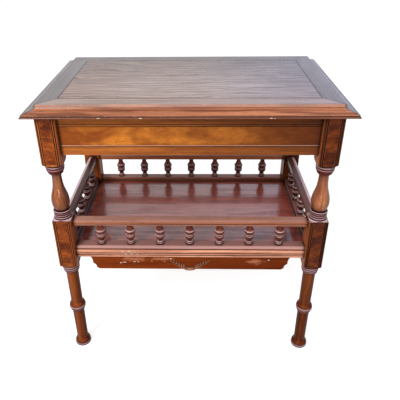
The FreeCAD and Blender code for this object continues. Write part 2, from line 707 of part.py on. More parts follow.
def lower_apron(side):
    """A board under the shelf rail, its ends stepped in small coves, with a low lobe at the middle."""
    reach = SIDES[side][1]
    corner = (APRON_LENGTH / 2, SHELF_BOTTOM)
    half = []
    here = corner
    for run, drop, bow in APRON_COVES:
        if half:
            here = (here[0], here[1] - APRON_STEP)
            half.append(here)
        foot = (here[0] - run, here[1] - drop)
        half.append(bowed(here, foot, bow))
        here = foot
    lobe = (APRON_LOBE_WIDTH / 2, here[1])
    half.append(lobe)
    middle = [((0, here[1] - APRON_LOBE_DROP), (-lobe[0], here[1]))]
    face = face_through(corner, half + middle + mirrored(corner, half),
                        lambda x, z: FreeCAD.Vector(x, APRON_SETBACK - reach, z))
    return face.extrude(FreeCAD.Vector(0, APRON_THICKNESS, 0))


def apron_block(x, side):
    """A rubbed block in the angle between a lower apron and the shelf rail above it."""
    front = APRON_SETBACK + APRON_THICKNESS - SIDES[side][1]
    half = APRON_BLOCK_LENGTH / 2
    bottom = SHELF_BOTTOM - APRON_BLOCK_SIZE
    return box(x - half, x + half, front, front + APRON_BLOCK_SIZE, bottom, SHELF_BOTTOM)


def save(name, *solids):
    """One file for a piece, or for a group of like pieces."""
    shape = solids[0] if len(solids) == 1 else Part.makeCompound(solids)
    shape.exportStep("parts/" + name + ".step")


os.makedirs("parts", exist_ok=True)

field_width = TOP_WIDTH - 2 * FRAME_WIDTH - 2 * PANEL_GAP
field_depth = TOP_DEPTH - 2 * FRAME_WIDTH - 2 * PANEL_GAP
save("top_panel", tongued_panel(field_width, field_depth, HEIGHT, TOP_PANEL_THICKNESS))
save("top_mitre_tongues", *[mitre_tongue(corner, 0) for corner in CORNERS])
save("shelf_panel", shelf_panel())

leg_solid = leg()
for corner in CORNERS:
    save("leg_" + corner, at_corner(leg_solid, corner))
    save("leg_veneers_" + corner, *[at_corner(panel, corner) for panel in block_panels(VENEER_CLEARANCE)])

top_blocks = []
top_screws = []
apron_blocks = []
for side, (angle, reach, span) in SIDES.items():
    places = spindle_places(side)
    save("top_frame_" + side, top_frame_member(side))
    save("frieze_rail_" + side, turned_about_z(frieze_rail(side), angle))
    save("frieze_veneer_" + side, turned_about_z(frieze_veneer(side), angle))
    save("shelf_rail_" + side, turned_about_z(shelf_rail(side, places), angle))
    save("gallery_rail_" + side, turned_about_z(gallery_rail(side, places), angle))
    for number, x in enumerate(places, 1):
        save("spindle_" + side + "_" + str(number), turned_about_z(spindle(x, reach), angle))
    for x, y in top_fixings(side):
        block = top_block(x, side).cut(screw(x, y, SCREW_CLEARANCE))
        top_blocks.append(turned_about_z(block, angle))
        top_screws.append(turned_about_z(screw(x, y, 0), angle))
    if side in LONG_SIDES:
        save("lower_apron_" + side, turned_about_z(lower_apron(side), angle))
        for x in spread(APRON_LENGTH, APRON_BLOCK_END, APRON_BLOCKS):
            apron_blocks.append(turned_about_z(apron_block(x, side), angle))
save("top_blocks", *top_blocks)
save("top_screws", *top_screws)
save("lower_apron_blocks", *apron_blocks)
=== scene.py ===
import bpy
import math
from mathutils import Matrix, Vector


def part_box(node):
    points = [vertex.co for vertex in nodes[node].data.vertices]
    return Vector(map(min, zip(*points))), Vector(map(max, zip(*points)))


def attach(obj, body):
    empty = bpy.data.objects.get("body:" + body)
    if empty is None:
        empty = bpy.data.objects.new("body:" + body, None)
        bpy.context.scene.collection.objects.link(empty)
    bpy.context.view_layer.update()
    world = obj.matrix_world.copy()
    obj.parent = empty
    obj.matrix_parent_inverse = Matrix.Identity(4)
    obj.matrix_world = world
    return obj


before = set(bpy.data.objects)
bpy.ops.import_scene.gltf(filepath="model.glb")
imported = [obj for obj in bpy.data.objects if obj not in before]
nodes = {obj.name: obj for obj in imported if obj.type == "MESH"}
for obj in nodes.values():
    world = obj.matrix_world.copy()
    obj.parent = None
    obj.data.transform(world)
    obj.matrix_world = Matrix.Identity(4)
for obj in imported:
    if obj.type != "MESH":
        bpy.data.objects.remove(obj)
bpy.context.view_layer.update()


# Legs: four turned legs of straight-grained walnut, sawn square and turned on a lathe below and between
# their two blocks. The reeds on the blocks are planed, the rails' tenons are glued into the inner faces,
# and the whole table is stained red-brown and French polished.

def put(tree, kind, inputs=(), **settings):
    """A node in a tree. Settings are its properties, and inputs are values, or sockets to link from."""
    made = tree.nodes.new(kind)
    for name, value in settings.items():
        setattr(made, name, value)
    for name, value in dict(inputs).items():
        if isinstance(value, bpy.types.NodeSocket):
            tree.links.new(value, made.inputs[name])
        else:
            made.inputs[name].default_value = value
    return made


def math_of(tree, operation, first, second=0.0):
    """The result of one sum on two values."""
    return put(tree, "ShaderNodeMath", {0: first, 1: second}, operation=operation).outputs[0]


def times(tree, first, second):
    """Two values multiplied."""
    return math_of(tree, "MULTIPLY", first, second)


def away_from(tree, value, middle):
    """How far a value lies from a middle."""
    return math_of(tree, "ABSOLUTE", math_of(tree, "SUBTRACT", value, middle))


def between(tree, value, start, end, low=0.0, high=1.0):
    """A level that goes from low to high as a value goes from start to end, and is held beyond them."""
    return put(tree, "ShaderNodeMapRange", {0: value, 1: start, 2: end, 3: low, 4: high}).outputs[0]


def highest(tree, masks):
    """The highest of some masks."""
    level = masks[0]
    for mask in masks[1:]:
        level = math_of(tree, "MAXIMUM", level, mask)
    return level


def vector_of(tree, operation, first, second):
    """The result of one sum on two vectors."""
    return put(tree, "ShaderNodeVectorMath", {0: first, 1: second}, operation=operation).outputs[0]


def parts_of(tree, vector):
    """The X, Y and Z of a vector."""
    return put(tree, "ShaderNodeSeparateXYZ", {0: vector}).outputs


def facing(tree):
    """The X, Y and Z of the way that a face looks."""
    return parts_of(tree, put(tree, "ShaderNodeNewGeometry").outputs["Normal"])


def tint(tree, factor, under, over, kind="MIX"):
    """One colour laid over another by a mask."""
    made = put(tree, "ShaderNodeMix", {0: factor, 6: under, 7: over}, data_type="RGBA", blend_type=kind)
    return made.outputs[2]


def ramp(tree, factor, *stops):
    """A mask stretched between stops of (place, level)."""
    made = put(tree, "ShaderNodeValToRGB", {"Fac": factor})
    elements = made.color_ramp.elements
    while len(elements) < len(stops):
        elements.new(1.0)
    for element, (place, level) in zip(elements, stops):
        element.position = place
        element.color = (level, level, level, 1)
    return made.outputs["Color"]


def noise(tree, vector, stretch, detail=3.0, roughness=0.55, distortion=0.0):
    """Noise with so many waves to the metre along X, Y and Z."""
    scaled = vector_of(tree, "MULTIPLY", vector, stretch)
    settings = {"Vector": scaled, "Scale": 1.0, "Detail": detail, "Roughness": roughness}
    return put(tree, "ShaderNodeTexNoise", {**settings, "Distortion": distortion}).outputs["Fac"]


def new_group(name, inputs, outputs):
    """An empty shader group with named sockets, and the nodes that stand for its two ends."""
    group = bpy.data.node_groups.new(name, "ShaderNodeTree")
    for socket, kind, value in inputs:
        made = group.interface.new_socket(socket, in_out="INPUT", socket_type=kind)
        if value is not None:
            made.default_value = value
    for socket in outputs:
        group.interface.new_socket(socket, in_out="OUTPUT", socket_type="NodeSocketFloat")
    return group, group.nodes.new("NodeGroupInput"), group.nodes.new("NodeGroupOutput")


def give(group, result, masks):
    """A group's outputs: masks that each rise from nothing to one between two levels."""
    for socket, (mask, start, end) in masks.items():
        group.links.new(ramp(group, mask, (start, 0.0), (end, 1.0)), result.inputs[socket])


RIPPLE_SHARE = 0.3
SWAY_MIDDLE = 0.5 * (1.0 + RIPPLE_SHARE)


def walnut_grain():
    """Walnut with its grain along X: broad bands, short streaks, long wavy lines, growth lines and pores."""
    inputs = [("Vector", "NodeSocketVector", None), ("Waviness", "NodeSocketFloat", 0.01)]
    outputs = ["Bands", "Streaks", "Waves", "Lines", "Pores"]
    group, given, result = new_group("walnut_grain", inputs, outputs)
    place = given.outputs["Vector"]
    sway = noise(group, place, (3.0, 8.0, 8.0), detail=2.0)
    ripple = noise(group, place, (11.0, 30.0, 30.0), detail=1.0)
    both = math_of(group, "ADD", sway, times(group, ripple, RIPPLE_SHARE))
    shift = times(group, math_of(group, "SUBTRACT", both, SWAY_MIDDLE), given.outputs["Waviness"])
    offset = put(group, "ShaderNodeCombineXYZ", {"Y": shift, "Z": shift}).outputs[0]
    moved = vector_of(group, "ADD", place, offset)
    bands = noise(group, moved, (1.6, 26.0, 26.0), detail=2.0)
    streaks = noise(group, moved, (6.0, 68.0, 68.0), detail=1.5)
    drawn = vector_of(group, "MULTIPLY", moved, (0.22, 1.0, 1.0))
    waved = {"Vector": drawn, "Scale": 17.0, "Distortion": 8.0, "Detail": 2.0, "Detail Scale": 1.4}
    waves = put(group, "ShaderNodeTexWave", waved, bands_direction="Y").outputs["Fac"]
    lines = noise(group, moved, (3.0, 150.0, 150.0), detail=3.0, roughness=0.6)
    pores = noise(group, moved, (45.0, 1100.0, 1100.0), detail=1.0)
    give(group, result, {"Bands": (bands, 0.3, 0.7), "Streaks": (streaks, 0.48, 0.62),
                         "Waves": (waves, 0.66, 0.98), "Lines": (lines, 0.32, 0.68),
                         "Pores": (pores, 0.56, 0.68)})
    return group


RUB_REACH = 0.0015
QUIRK_REACH = 0.01
SKY_HIGHLIGHT_FROM = 0.45


def wear_and_painted_light():
    """Rubbed arrises, grime and painted shade in quirks, and a painted highlight on faces looking up."""
    inputs = [("Vector", "NodeSocketVector", None), ("Level", "NodeSocketFloat", SKY_HIGHLIGHT_FROM)]
    group, given, result = new_group("wear_and_painted_light", inputs, ["Rubbed", "GrimeAndShade", "SkyHighlight"])
    eased = put(group, "ShaderNodeBevel", {"Radius": RUB_REACH}, samples=6).outputs[0]
    normal = put(group, "ShaderNodeNewGeometry").outputs["Normal"]
    turn = put(group, "ShaderNodeVectorMath", {0: eased, 1: normal}, operation="DOT_PRODUCT").outputs["Value"]
    edge = ramp(group, math_of(group, "SUBTRACT", 1.0, turn), (0.03, 0.0), (0.22, 1.0))
    openness = put(group, "ShaderNodeAmbientOcclusion", {"Distance": QUIRK_REACH}, samples=8).outputs["AO"]
    outer = times(group, edge, ramp(group, openness, (0.55, 0.0), (0.85, 1.0)))
    patchy = noise(group, given.outputs["Vector"], (60.0, 60.0, 60.0), detail=4.0, roughness=0.65)
    rubbed = times(group, outer, ramp(group, patchy, (0.4, 0.0), (0.62, 1.0)))
    # Grime and painted shade: dark where other faces stand close, as in quirks, corners and under overhangs.
    grime_and_shade = ramp(group, openness, (0.5, 1.0), (0.95, 0.0))
    # Painted highlight: faces that look up are made pale, as if they mirrored the sky.
    level = given.outputs["Level"]
    full = times(group, math_of(group, "ADD", level, 1.0), 0.5)
    bloom = between(group, parts_of(group, normal)["Z"], level, full)
    bloom = times(group, bloom, ramp(group, patchy, (0.3, 0.6), (0.6, 1.0)))
    bloom = times(group, bloom, ramp(group, openness, (0.45, 0.0), (0.7, 1.0)))
    group.links.new(rubbed, result.inputs["Rubbed"])
    group.links.new(grime_and_shade, result.inputs["GrimeAndShade"])
    group.links.new(bloom, result.inputs["SkyHighlight"])
    return group


WALNUT_GRAIN = walnut_grain()
WEAR_AND_PAINTED_LIGHT = wear_and_painted_light()
QUARTER_TURN = math.pi / 2
GRAIN_TURN = {"X": (0, 0, 0), "Y": (0, 0, -QUARTER_TURN), "Z": (0, QUARTER_TURN, 0)}
# A near-black brown for grime and for painted shade in hollows, quirks and undersides.
SHADE_AND_WAX_BROWN = (0.012, 0.004, 0.003, 1)
CHIP_PALE = (0.75, 0.6, 0.48, 1)
# The pale tone of the painted highlight on faces that look up.
SKY_HIGHLIGHT_PALE = (0.52, 0.40, 0.41, 1)
SHELLAC = (1.0, 0.72, 0.48, 1)
CLEAR = (1.0, 1.0, 1.0, 1)


def polished(name, gloss, coat, glaze=SHELLAC, coat_roughness=0.1):
    """A material with a French-polished surface and its Object coordinates."""
    material = bpy.data.materials.new(name)
    material.use_nodes = True
    tree = material.node_tree
    shader = tree.nodes["Principled BSDF"]
    shader.inputs["Specular IOR Level"].default_value = gloss
    shader.inputs["Specular Tint"].default_value = glaze
    shader.inputs["Coat Weight"].default_value = coat
    shader.inputs["Coat Roughness"].default_value = coat_roughness
    return material, tree, shader, put(tree, "ShaderNodeTexCoord").outputs["Object"]


GRIME_AND_SHADE_SHARE = 0.95
DIRT_DULLING = 0.3
SMOOTHER = 0.03
ROUGHER = 0.05
ARRIS_RADIUS = 0.0005
PORE_DEPTH = 0.0004


def finish_surface(tree, shader, place, colour, relief, roughness, worn=0.3, pale=CHIP_PALE, bloom=0.0,
                   bloom_from=SKY_HIGHLIGHT_FROM, bloom_tone=SKY_HIGHLIGHT_PALE):
    """Lays painted highlight and shade, wear and grime on a wood, eases the arrises, and makes the sheen
    patchy.
    """
    marks = put(tree, "ShaderNodeGroup", {"Vector": place, "Level": bloom_from}, node_tree=WEAR_AND_PAINTED_LIGHT)
    # Painted highlight on faces that look up.
    if bloom:
        colour = tint(tree, times(tree, marks.outputs["SkyHighlight"], bloom), colour, bloom_tone)
    colour = tint(tree, times(tree, marks.outputs["Rubbed"], worn), colour, pale)
    # Grime with painted shade where other faces stand close.
    dirt_and_shade = times(tree, marks.outputs["GrimeAndShade"], GRIME_AND_SHADE_SHARE)
    colour = tint(tree, dirt_and_shade, colour, SHADE_AND_WAX_BROWN)
    cloudy = noise(tree, place, (14.0, 14.0, 14.0), detail=3.0)
    sheen = between(tree, cloudy, 0.35, 0.65, roughness - SMOOTHER, roughness + ROUGHER)
    dulled = math_of(tree, "ADD", sheen, times(tree, dirt_and_shade, DIRT_DULLING))
    arris = put(tree, "ShaderNodeBevel", {"Radius": ARRIS_RADIUS}, samples=6).outputs[0]
    pores = {"Height": relief, "Normal": arris, "Strength": 0.25, "Distance": PORE_DEPTH}
    tree.links.new(colour, shader.inputs["Base Color"])
    tree.links.new(dulled, shader.inputs["Roughness"])
    tree.links.new(put(tree, "ShaderNodeBump", pores).outputs["Normal"], shader.inputs["Normal"])


PORE_SHARE = 0.5
THIN_COAT = 0.2
SUNK_POLISH = 0.6


def wood(name, along, dark, mid, light, waviness=0.01, lines=0.6, streaks=0.3, waves=0.0, gloss=0.1,
         coat=0.05, coat_roughness=0.1, roughness=0.28, glaze=SHELLAC, faded=None, thinned=None, **wear):
    """Wood with its grain along one axis, in three tones from dark lines to pale bands.

    Faded changes its colour by place, and thinned its polish. A coat that isn't thin sinks into the grain."""
    material, tree, shader, place = polished(name, gloss, coat, glaze, coat_roughness)
    turned = put(tree, "ShaderNodeMapping", {"Vector": place, "Rotation": GRAIN_TURN[along]}).outputs[0]
    sockets = {"Vector": turned, "Waviness": waviness}
    grain = put(tree, "ShaderNodeGroup", sockets, node_tree=WALNUT_GRAIN).outputs
    colour = tint(tree, grain["Bands"], mid, light)
    for mark, share in (("Streaks", streaks), ("Waves", waves), ("Lines", lines), ("Pores", PORE_SHARE)):
        if share:
            colour = tint(tree, times(tree, grain[mark], share), colour, dark)
    if faded:
        colour = faded(tree, place, colour)
    if coat > THIN_COAT:
        sunk = times(tree, grain["Waves" if waves else "Streaks"], -SUNK_POLISH * coat)
        polish = math_of(tree, "ADD", sunk, coat)
        if thinned:
            polish = times(tree, polish, thinned(tree, place))
        tree.links.new(polish, shader.inputs["Coat Weight"])
    relief = math_of(tree, "SUBTRACT", 1.0, grain["Pores"])
    finish_surface(tree, shader, place, colour, relief, roughness, **wear)
    return material


def dress(material, *names):
    """Gives CAD nodes a finish."""
    for name in names:
        mesh = nodes[name].data
        mesh.materials.clear()
        mesh.materials.append(material)


def at_heights(tree, place, *ranges):
    """One between some pairs of heights, and nothing elsewhere."""
    height = parts_of(tree, place)["Z"]
    masks = []
    for bottom, top in ranges:
        away = away_from(tree, height, (bottom + top) / 2)
        masks.append(math_of(tree, "LESS_THAN", away, (top - bottom) / 2))
    return highest(tree, masks)


LEG_DARK = (0.08, 0.012, 0.003, 1)
LEG_MID = (0.28, 0.060, 0.013, 1)
LEG_LIGHT = (0.58, 0.175, 0.042, 1)
LEG_PALE = (0.62, 0.34, 0.20, 1)
LEFT_TO_RIGHT = (-0.2, 0.3)
# Painted shade: the right of the table is darkened, as if less light reached it.
RIGHT_SHADE = (0.27, 0.21, 0.26, 1)
FRONT_TURN = (-0.3, -0.7)


def shade_to_right(tree, place, colour, most):
    """Painted shade that deepens towards the right of the table."""
    share = between(tree, parts_of(tree, place)["X"], *LEFT_TO_RIGHT, high=most)
    return tint(tree, share, colour, RIGHT_SHADE, "MULTIPLY")


def front_shade_to_right(tree, place, colour, most=0.95):
    """Faces to the front of the table, with painted shade deepening towards the right."""
    front = between(tree, facing(tree)["Y"], *FRONT_TURN)
    return tint(tree, front, colour, shade_to_right(tree, place, colour, most))


BLOCK_HEIGHTS = ((0.2985, 0.4425), (0.5975, 0.7235))
# Heights over which the painted shade on the lower legs thins out.
SHAFT_SHADE_HEIGHTS = (0.12, 0.29)
LOW_SHADE = (0.52, 0.36, 0.32, 1)


def shaded_low(tree, place, colour):
    """A leg below its blocks, with painted shade that thins upwards and is deeper on the right."""
    height = parts_of(tree, place)["Z"]
    low = between(tree, height, *SHAFT_SHADE_HEIGHTS, low=0.85, high=0.25)
    low = times(tree, low, math_of(tree, "LESS_THAN", height, BLOCK_HEIGHTS[0][0]))
    shaded = tint(tree, 1.0, shade_to_right(tree, place, colour, most=0.5), LOW_SHADE, "MULTIPLY")
    return tint(tree, low, colour, shaded)


LEG_AXES = {"X": 0.3215, "Y": 0.1925}
REED_VALLEYS = (0.0190, 0.0145)
REED_LINE_HALF = 0.0010
REED_FACE = 0.0205
REED_SHADE_SHARE = 0.95


def reed_valley_shade(tree, place):
    """Painted shade in the valleys of the reeds, upright lines on the two outer faces of each leg's blocks.
    """
    parts = parts_of(tree, place)
    out = {}
    for axis, middle in LEG_AXES.items():
        out[axis] = math_of(tree, "SUBTRACT", math_of(tree, "ABSOLUTE", parts[axis]), middle)
    lines = []
    for axis, face in (("X", "Y"), ("Y", "X")):
        aside = math_of(tree, "ABSOLUTE", out[axis])
        outer = math_of(tree, "GREATER_THAN", out[face], REED_FACE)
        for valley in REED_VALLEYS:
            inside = math_of(tree, "LESS_THAN", away_from(tree, aside, valley), REED_LINE_HALF)
            lines.append(times(tree, inside, outer))
    return times(tree, highest(tree, lines), at_heights(tree, place, *BLOCK_HEIGHTS))


def shaded_blocks(tree, place, colour):
    """A leg's blocks: painted shade deepening to the right of the front, and in the reeds' valleys."""
    blocks = at_heights(tree, place, *BLOCK_HEIGHTS)
    colour = tint(tree, blocks, colour, front_shade_to_right(tree, place, colour, most=0.98))
    return tint(tree, times(tree, reed_valley_shade(tree, place), REED_SHADE_SHARE), colour, SHADE_AND_WAX_BROWN)


VASE_HEIGHTS = (0.4695, 0.5695)
VASE_FOOT = (0.4695, 0.497)
VASE_NECK = (0.548, 0.5695)
ROUND_HEIGHTS = ((0.012, 0.131), (0.151, 0.272), VASE_HEIGHTS)
# Vase tones: a little painted shade on the left, and a painted highlight on the right.
LEFT_VASE_SHADE = (0.82, 0.84, 0.84, 1)
RIGHT_VASE_HIGHLIGHT = (1.34, 1.72, 2.7, 1)
ASIDE_SHADE = (0.34, 0.24, 0.20, 1)


def shaded_rounds(tree, place, colour):
    """Painted light on the rounds: vases shaded left and highlit right, shade round the sides and at vase
    ends.
    """
    parts = parts_of(tree, place)
    vases = at_heights(tree, place, VASE_HEIGHTS)
    tone = tint(tree, between(tree, parts["X"], *LEFT_TO_RIGHT), LEFT_VASE_SHADE, RIGHT_VASE_HIGHLIGHT)
    colour = tint(tree, vases, colour, tone, "MULTIPLY")
    aside = ramp(tree, math_of(tree, "ABSOLUTE", facing(tree)["X"]), (0.35, 0.0), (0.85, 0.75))
    aside = times(tree, aside, at_heights(tree, place, *ROUND_HEIGHTS))
    colour = tint(tree, aside, colour, ASIDE_SHADE, "MULTIPLY")
    # Painted shade at both ends of a vase, where it meets the rings.
    foot = between(tree, parts["Z"], *VASE_FOOT, low=0.7, high=0.0)
    neck = between(tree, parts["Z"], *VASE_NECK, low=0.0, high=0.5)
    return tint(tree, times(tree, math_of(tree, "ADD", foot, neck), vases), colour, LEG_DARK)


CUP_HEIGHTS = (0.4425, 0.4695)
RING_HEIGHTS = ((0.000, 0.012), (0.131, 0.151), (0.272, 0.2985), CUP_HEIGHTS, (0.5695, 0.5975))
# Painted shade in the rings, and a painted highlight on their crests.
RING_SHADE = (0.10, 0.017, 0.011, 1)
CREST_HIGHLIGHT = (0.72, 0.52, 0.56, 1)


def highlit_rings(tree, place, colour):
    """The rings: painted shade below and a painted highlight on their crests, which are thinner under a vase.
    """
    rising = facing(tree)["Z"]
    wide = ramp(tree, rising, (0.24, 0.0), (0.5, 0.8), (0.92, 0.8), (0.98, 0.35))
    thin = ramp(tree, rising, (0.42, 0.0), (0.65, 0.85), (0.92, 0.85), (0.98, 0.35))
    crest = tint(tree, at_heights(tree, place, CUP_HEIGHTS), wide, thin)
    ringed = tint(tree, crest, RING_SHADE, CREST_HIGHLIGHT)
    return tint(tree, at_heights(tree, place, *RING_HEIGHTS), colour, ringed)


def turned_tones(tree, place, colour):
    """All the painted shade and highlight laid on a leg."""
    for tone in (shaded_low, shaded_blocks, shaded_rounds, highlit_rings):
        colour = tone(tree, place, colour)
    return colour


VASE_POLISH = 0.8
WORN_POLISH = 0.05


def polished_vases(tree, place):
    """Full polish on the plain vases, and little of it left on the rest of a leg."""
    vases = times(tree, at_heights(tree, place, VASE_HEIGHTS), VASE_POLISH)
    return math_of(tree, "MAXIMUM", vases, WORN_POLISH)


leg_walnut = wood("leg_walnut", "Z", LEG_DARK, LEG_MID, LEG_LIGHT, roughness=0.36, gloss=0.07, coat=1.0,
                  coat_roughness=0.16, worn=0.25, pale=LEG_PALE, faded=turned_tones,
                  thinned=polished_vases)
CORNERS = ("front_left", "front_right", "back_left", "back_right")
dress(leg_walnut, *["leg_" + corner for corner in CORNERS])


# Leg veneers: thin sheets of burr walnut, full of small eyes and swirls, glued into shallow beds on the two
# outer faces of each block, upright between the reeds.

CURL_PUSH = 0.07
EYE_SHARE = 0.35


def burr_figure():
    """Burr and flame figure: wide clouds of light and dark, curling lines, and fine eyes."""
    inputs = [("Vector", "NodeSocketVector", None), ("Scale", "NodeSocketFloat", 1.0)]
    group, given, result = new_group("burr_figure", inputs, ["Clouds", "Curls", "Eyes"])
    sized = {0: given.outputs["Vector"], "Scale": given.outputs["Scale"]}
    base = put(group, "ShaderNodeVectorMath", sized, operation="SCALE").outputs[0]
    flow = put(group, "ShaderNodeTexNoise", {"Vector": base, "Scale": 9.0, "Detail": 2.0}).outputs["Color"]
    centred = vector_of(group, "SUBTRACT", flow, (0.5, 0.5, 0.5))
    pushed = vector_of(group, "MULTIPLY", centred, (CURL_PUSH, CURL_PUSH, CURL_PUSH))
    warped = vector_of(group, "ADD", base, pushed)
    clouds = noise(group, warped, (9.0, 9.0, 17.0), detail=2.5, roughness=0.5)
    curls = noise(group, warped, (38.0, 38.0, 130.0), detail=4.0, roughness=0.6, distortion=0.4)
    eyes = noise(group, warped, (420.0, 420.0, 420.0), detail=2.0)
    give(group, result, {"Clouds": (clouds, 0.38, 0.62), "Curls": (curls, 0.38, 0.66),
                         "Eyes": (eyes, 0.56, 0.66)})
    return group


BURR_FIGURE = burr_figure()


def veneer(name, dark, mid, light, scale, curl, right=0.95, shade=None):
    """Polished figured veneer, painted in shade to the right on the front. Shade changes its pale clouds by
    place.
    """
    material, tree, shader, place = polished(name, gloss=0.1, coat=0.1)
    figure = put(tree, "ShaderNodeGroup", {"Vector": place, "Scale": scale}, node_tree=BURR_FIGURE).outputs
    clouds = figure["Clouds"]
    if shade:
        clouds = shade(tree, place, clouds)
    colour = tint(tree, clouds, mid, light)
    colour = tint(tree, times(tree, figure["Curls"], curl), colour, dark)
    colour = tint(tree, times(tree, figure["Eyes"], EYE_SHARE), colour, dark)
    colour = front_shade_to_right(tree, place, colour, right)
    relief = math_of(tree, "SUBTRACT", 1.0, figure["Eyes"])
    finish_surface(tree, shader, place, colour, relief, roughness=0.26, worn=0.1)
    return material


BURR_DARK = (0.030, 0.005, 0.002, 1)
BURR_MID = (0.125, 0.018, 0.004, 1)
BURR_LIGHT = (0.38, 0.080, 0.010, 1)
block_burr = veneer("block_burr", BURR_DARK, BURR_MID, BURR_LIGHT, scale=2.4, curl=0.7, right=0.68)
dress(block_burr, *["leg_veneers_" + corner for corner in CORNERS])


# Frieze rails: four walnut rails under the top, their ends tenoned and glued into the legs. Each has two
# small beads worked along it with a plane, with painted shade in their quirks and a painted highlight on one.

SIDES = ("front", "right", "back", "left")
GRAIN_OF_SIDE = {"front": "X", "back": "X", "left": "Y", "right": "Y"}
FRIEZE_DARK = (0.13, 0.026, 0.005, 1)
FRIEZE_MID = (0.36, 0.095, 0.018, 1)
FRIEZE_LIGHT = (0.60, 0.19, 0.038, 1)
# Painted shade in the quirks beside the beads, and a painted highlight along the lower bead.
BEAD_SHADE_LINES = ((0.6436, 0.6452), (0.6936, 0.6947), (0.6980, 0.6997))
BEAD_HIGHLIGHT_LINE = (0.6470, 0.6486)
BEAD_HIGHLIGHT_PALE = (0.50, 0.30, 0.22, 1)


def lined(tree, place, colour, *ranges, share, tone=SHADE_AND_WAX_BROWN):
    """Level lines between some pairs of heights, of painted shade unless another tone is given."""
    return tint(tree, times(tree, at_heights(tree, place, *ranges), share), colour, tone)


def frieze_tones(tree, place, colour):
    """Painted shade to the right and in the quirks beside the beads, and a painted highlight on the lower
    bead.
    """
    colour = front_shade_to_right(tree, place, colour)
    colour = lined(tree, place, colour, BEAD_HIGHLIGHT_LINE, share=0.6, tone=BEAD_HIGHLIGHT_PALE)
    return lined(tree, place, colour, *BEAD_SHADE_LINES, share=0.85)


frieze_walnut = {}
for axis in ("X", "Y"):
    frieze_walnut[axis] = wood("frieze_walnut_" + axis.lower(), axis, FRIEZE_DARK, FRIEZE_MID, FRIEZE_LIGHT,
                               faded=frieze_tones)
for side in SIDES:
    dress(frieze_walnut[GRAIN_OF_SIDE[side]], "frieze_rail_" + side)


# Frieze veneers: a band of flame-figured walnut laid between the beads of each rail, golden at the left and
# in the middle, its pale figure faded out towards the right on the front as painted shade.

# Across this span the flame's pale figure fades out to the right on the front, as painted shade.
FLAME_FADE = (0.06, 0.26)
BEHIND_FRONT = -0.19


def flame_shaded_right(tree, place, clouds):
    """The clouds of figure, faded low towards the right on the front of the table, as painted shade."""
    parts = parts_of(tree, place)
    level = between(tree, parts["X"], *FLAME_FADE, low=1.0, high=0.15)
    behind = math_of(tree, "GREATER_THAN", parts["Y"], BEHIND_FRONT)
    return times(tree, clouds, math_of(tree, "MAXIMUM", level, behind))


FLAME_DARK = (0.13, 0.026, 0.003, 1)
FLAME_MID = (0.27, 0.060, 0.007, 1)
FLAME_LIGHT = (0.81, 0.268, 0.030, 1)
frieze_flame = veneer("frieze_flame", FLAME_DARK, FLAME_MID, FLAME_LIGHT, scale=1.0, curl=0.4,
                      shade=flame_shaded_right)
dress(frieze_flame, *["frieze_veneer_" + side for side in SIDES])


# Shelf rails: four walnut rails that frame the shelf, tenoned and glued into the lower leg blocks. Their
# outer edges are reeded with a scratch tool, and the polish on the reeds is worn thin and a little chipped.

def spot(tree, place, ragged, x, z, half_x, half_z):
    """A ragged spot on an upright face that looks along Y."""
    away = vector_of(tree, "SUBTRACT", place, (x, 0, z))
    away = vector_of(tree, "MULTIPLY", away, (1 / half_x, 0, 1 / half_z))
    away = put(tree, "ShaderNodeVectorMath", {0: away}, operation="LENGTH").outputs["Value"]
    return ramp(tree, math_of(tree, "ADD", away, ragged), (0.62, 1.0), (1.0, 0.0))


def spots(tree, place, ragged, places):
    """All of some ragged spots, on the front half of the table."""
    front = math_of(tree, "LESS_THAN", parts_of(tree, place)["Y"], 0.0)
    return times(tree, highest(tree, [spot(tree, place, ragged, *where) for where in places]), front)


FLAKE_GRAIN = (230.0, 230.0, 320.0)
FLAKE_RAGGED = 0.6


def flaked(tree, place, colour, places):
    """Pale bare flakes where the polish has chipped."""
    ragged = times(tree, noise(tree, place, FLAKE_GRAIN, detail=4.0), FLAKE_RAGGED)
    return tint(tree, spots(tree, place, ragged, places), colour, CHIP_PALE)


SHELF_DARK = (0.21, 0.048, 0.022, 1)
SHELF_MID = (0.66, 0.25, 0.135, 1)
SHELF_LIGHT = (0.90, 0.44, 0.29, 1)
SHELF_FLAT = (0.26, 0.115, 0.095, 1)
SHELF_CHIPS = ((-0.176, 0.344, 0.006, 0.0025), (-0.168, 0.3365, 0.008, 0.0022),
               (-0.160, 0.3455, 0.007, 0.002), (-0.153, 0.338, 0.005, 0.003),
               (-0.144, 0.3415, 0.005, 0.0025), (-0.138, 0.3355, 0.006, 0.003))
OVOLO_HEIGHTS = (0.3495, 0.3600)
# The roll: painted shade below and a painted highlight on top. Then painted shade in the quirks by the reeds.
OVOLO_SHADE = (0.17, 0.050, 0.038, 1)
OVOLO_HIGHLIGHT = (0.37, 0.215, 0.215, 1)
REED_QUIRK_SHADE = ((0.3494, 0.3516), (0.3376, 0.3390), (0.3320, 0.3342))


def shelf_tones(tree, place, colour):
    """The long rails: a dark flat, a roll with painted highlight and shade, painted shade by the reeds, a few
    pale flakes.
    """
    rising = facing(tree)["Z"]
    roll = tint(tree, ramp(tree, rising, (0.2, 0.0), (0.4, 1.0)), OVOLO_SHADE, OVOLO_HIGHLIGHT)
    colour = lined(tree, place, colour, OVOLO_HEIGHTS, share=0.75, tone=roll)
    colour = tint(tree, ramp(tree, rising, (0.9, 0.0), (0.97, 0.85)), colour, SHELF_FLAT)
    colour = lined(tree, place, colour, *REED_QUIRK_SHADE, share=0.75)
    return flaked(tree, place, colour, SHELF_CHIPS)


# Multipliers of painted shade on the side rails: dark on the left, and paler on the right as a brighter
# reflection.
TOP_SHADE = (0.14, 0.10, 0.11, 1)
RIGHT_TOP_SHADE = (0.36, 0.32, 0.42, 1)


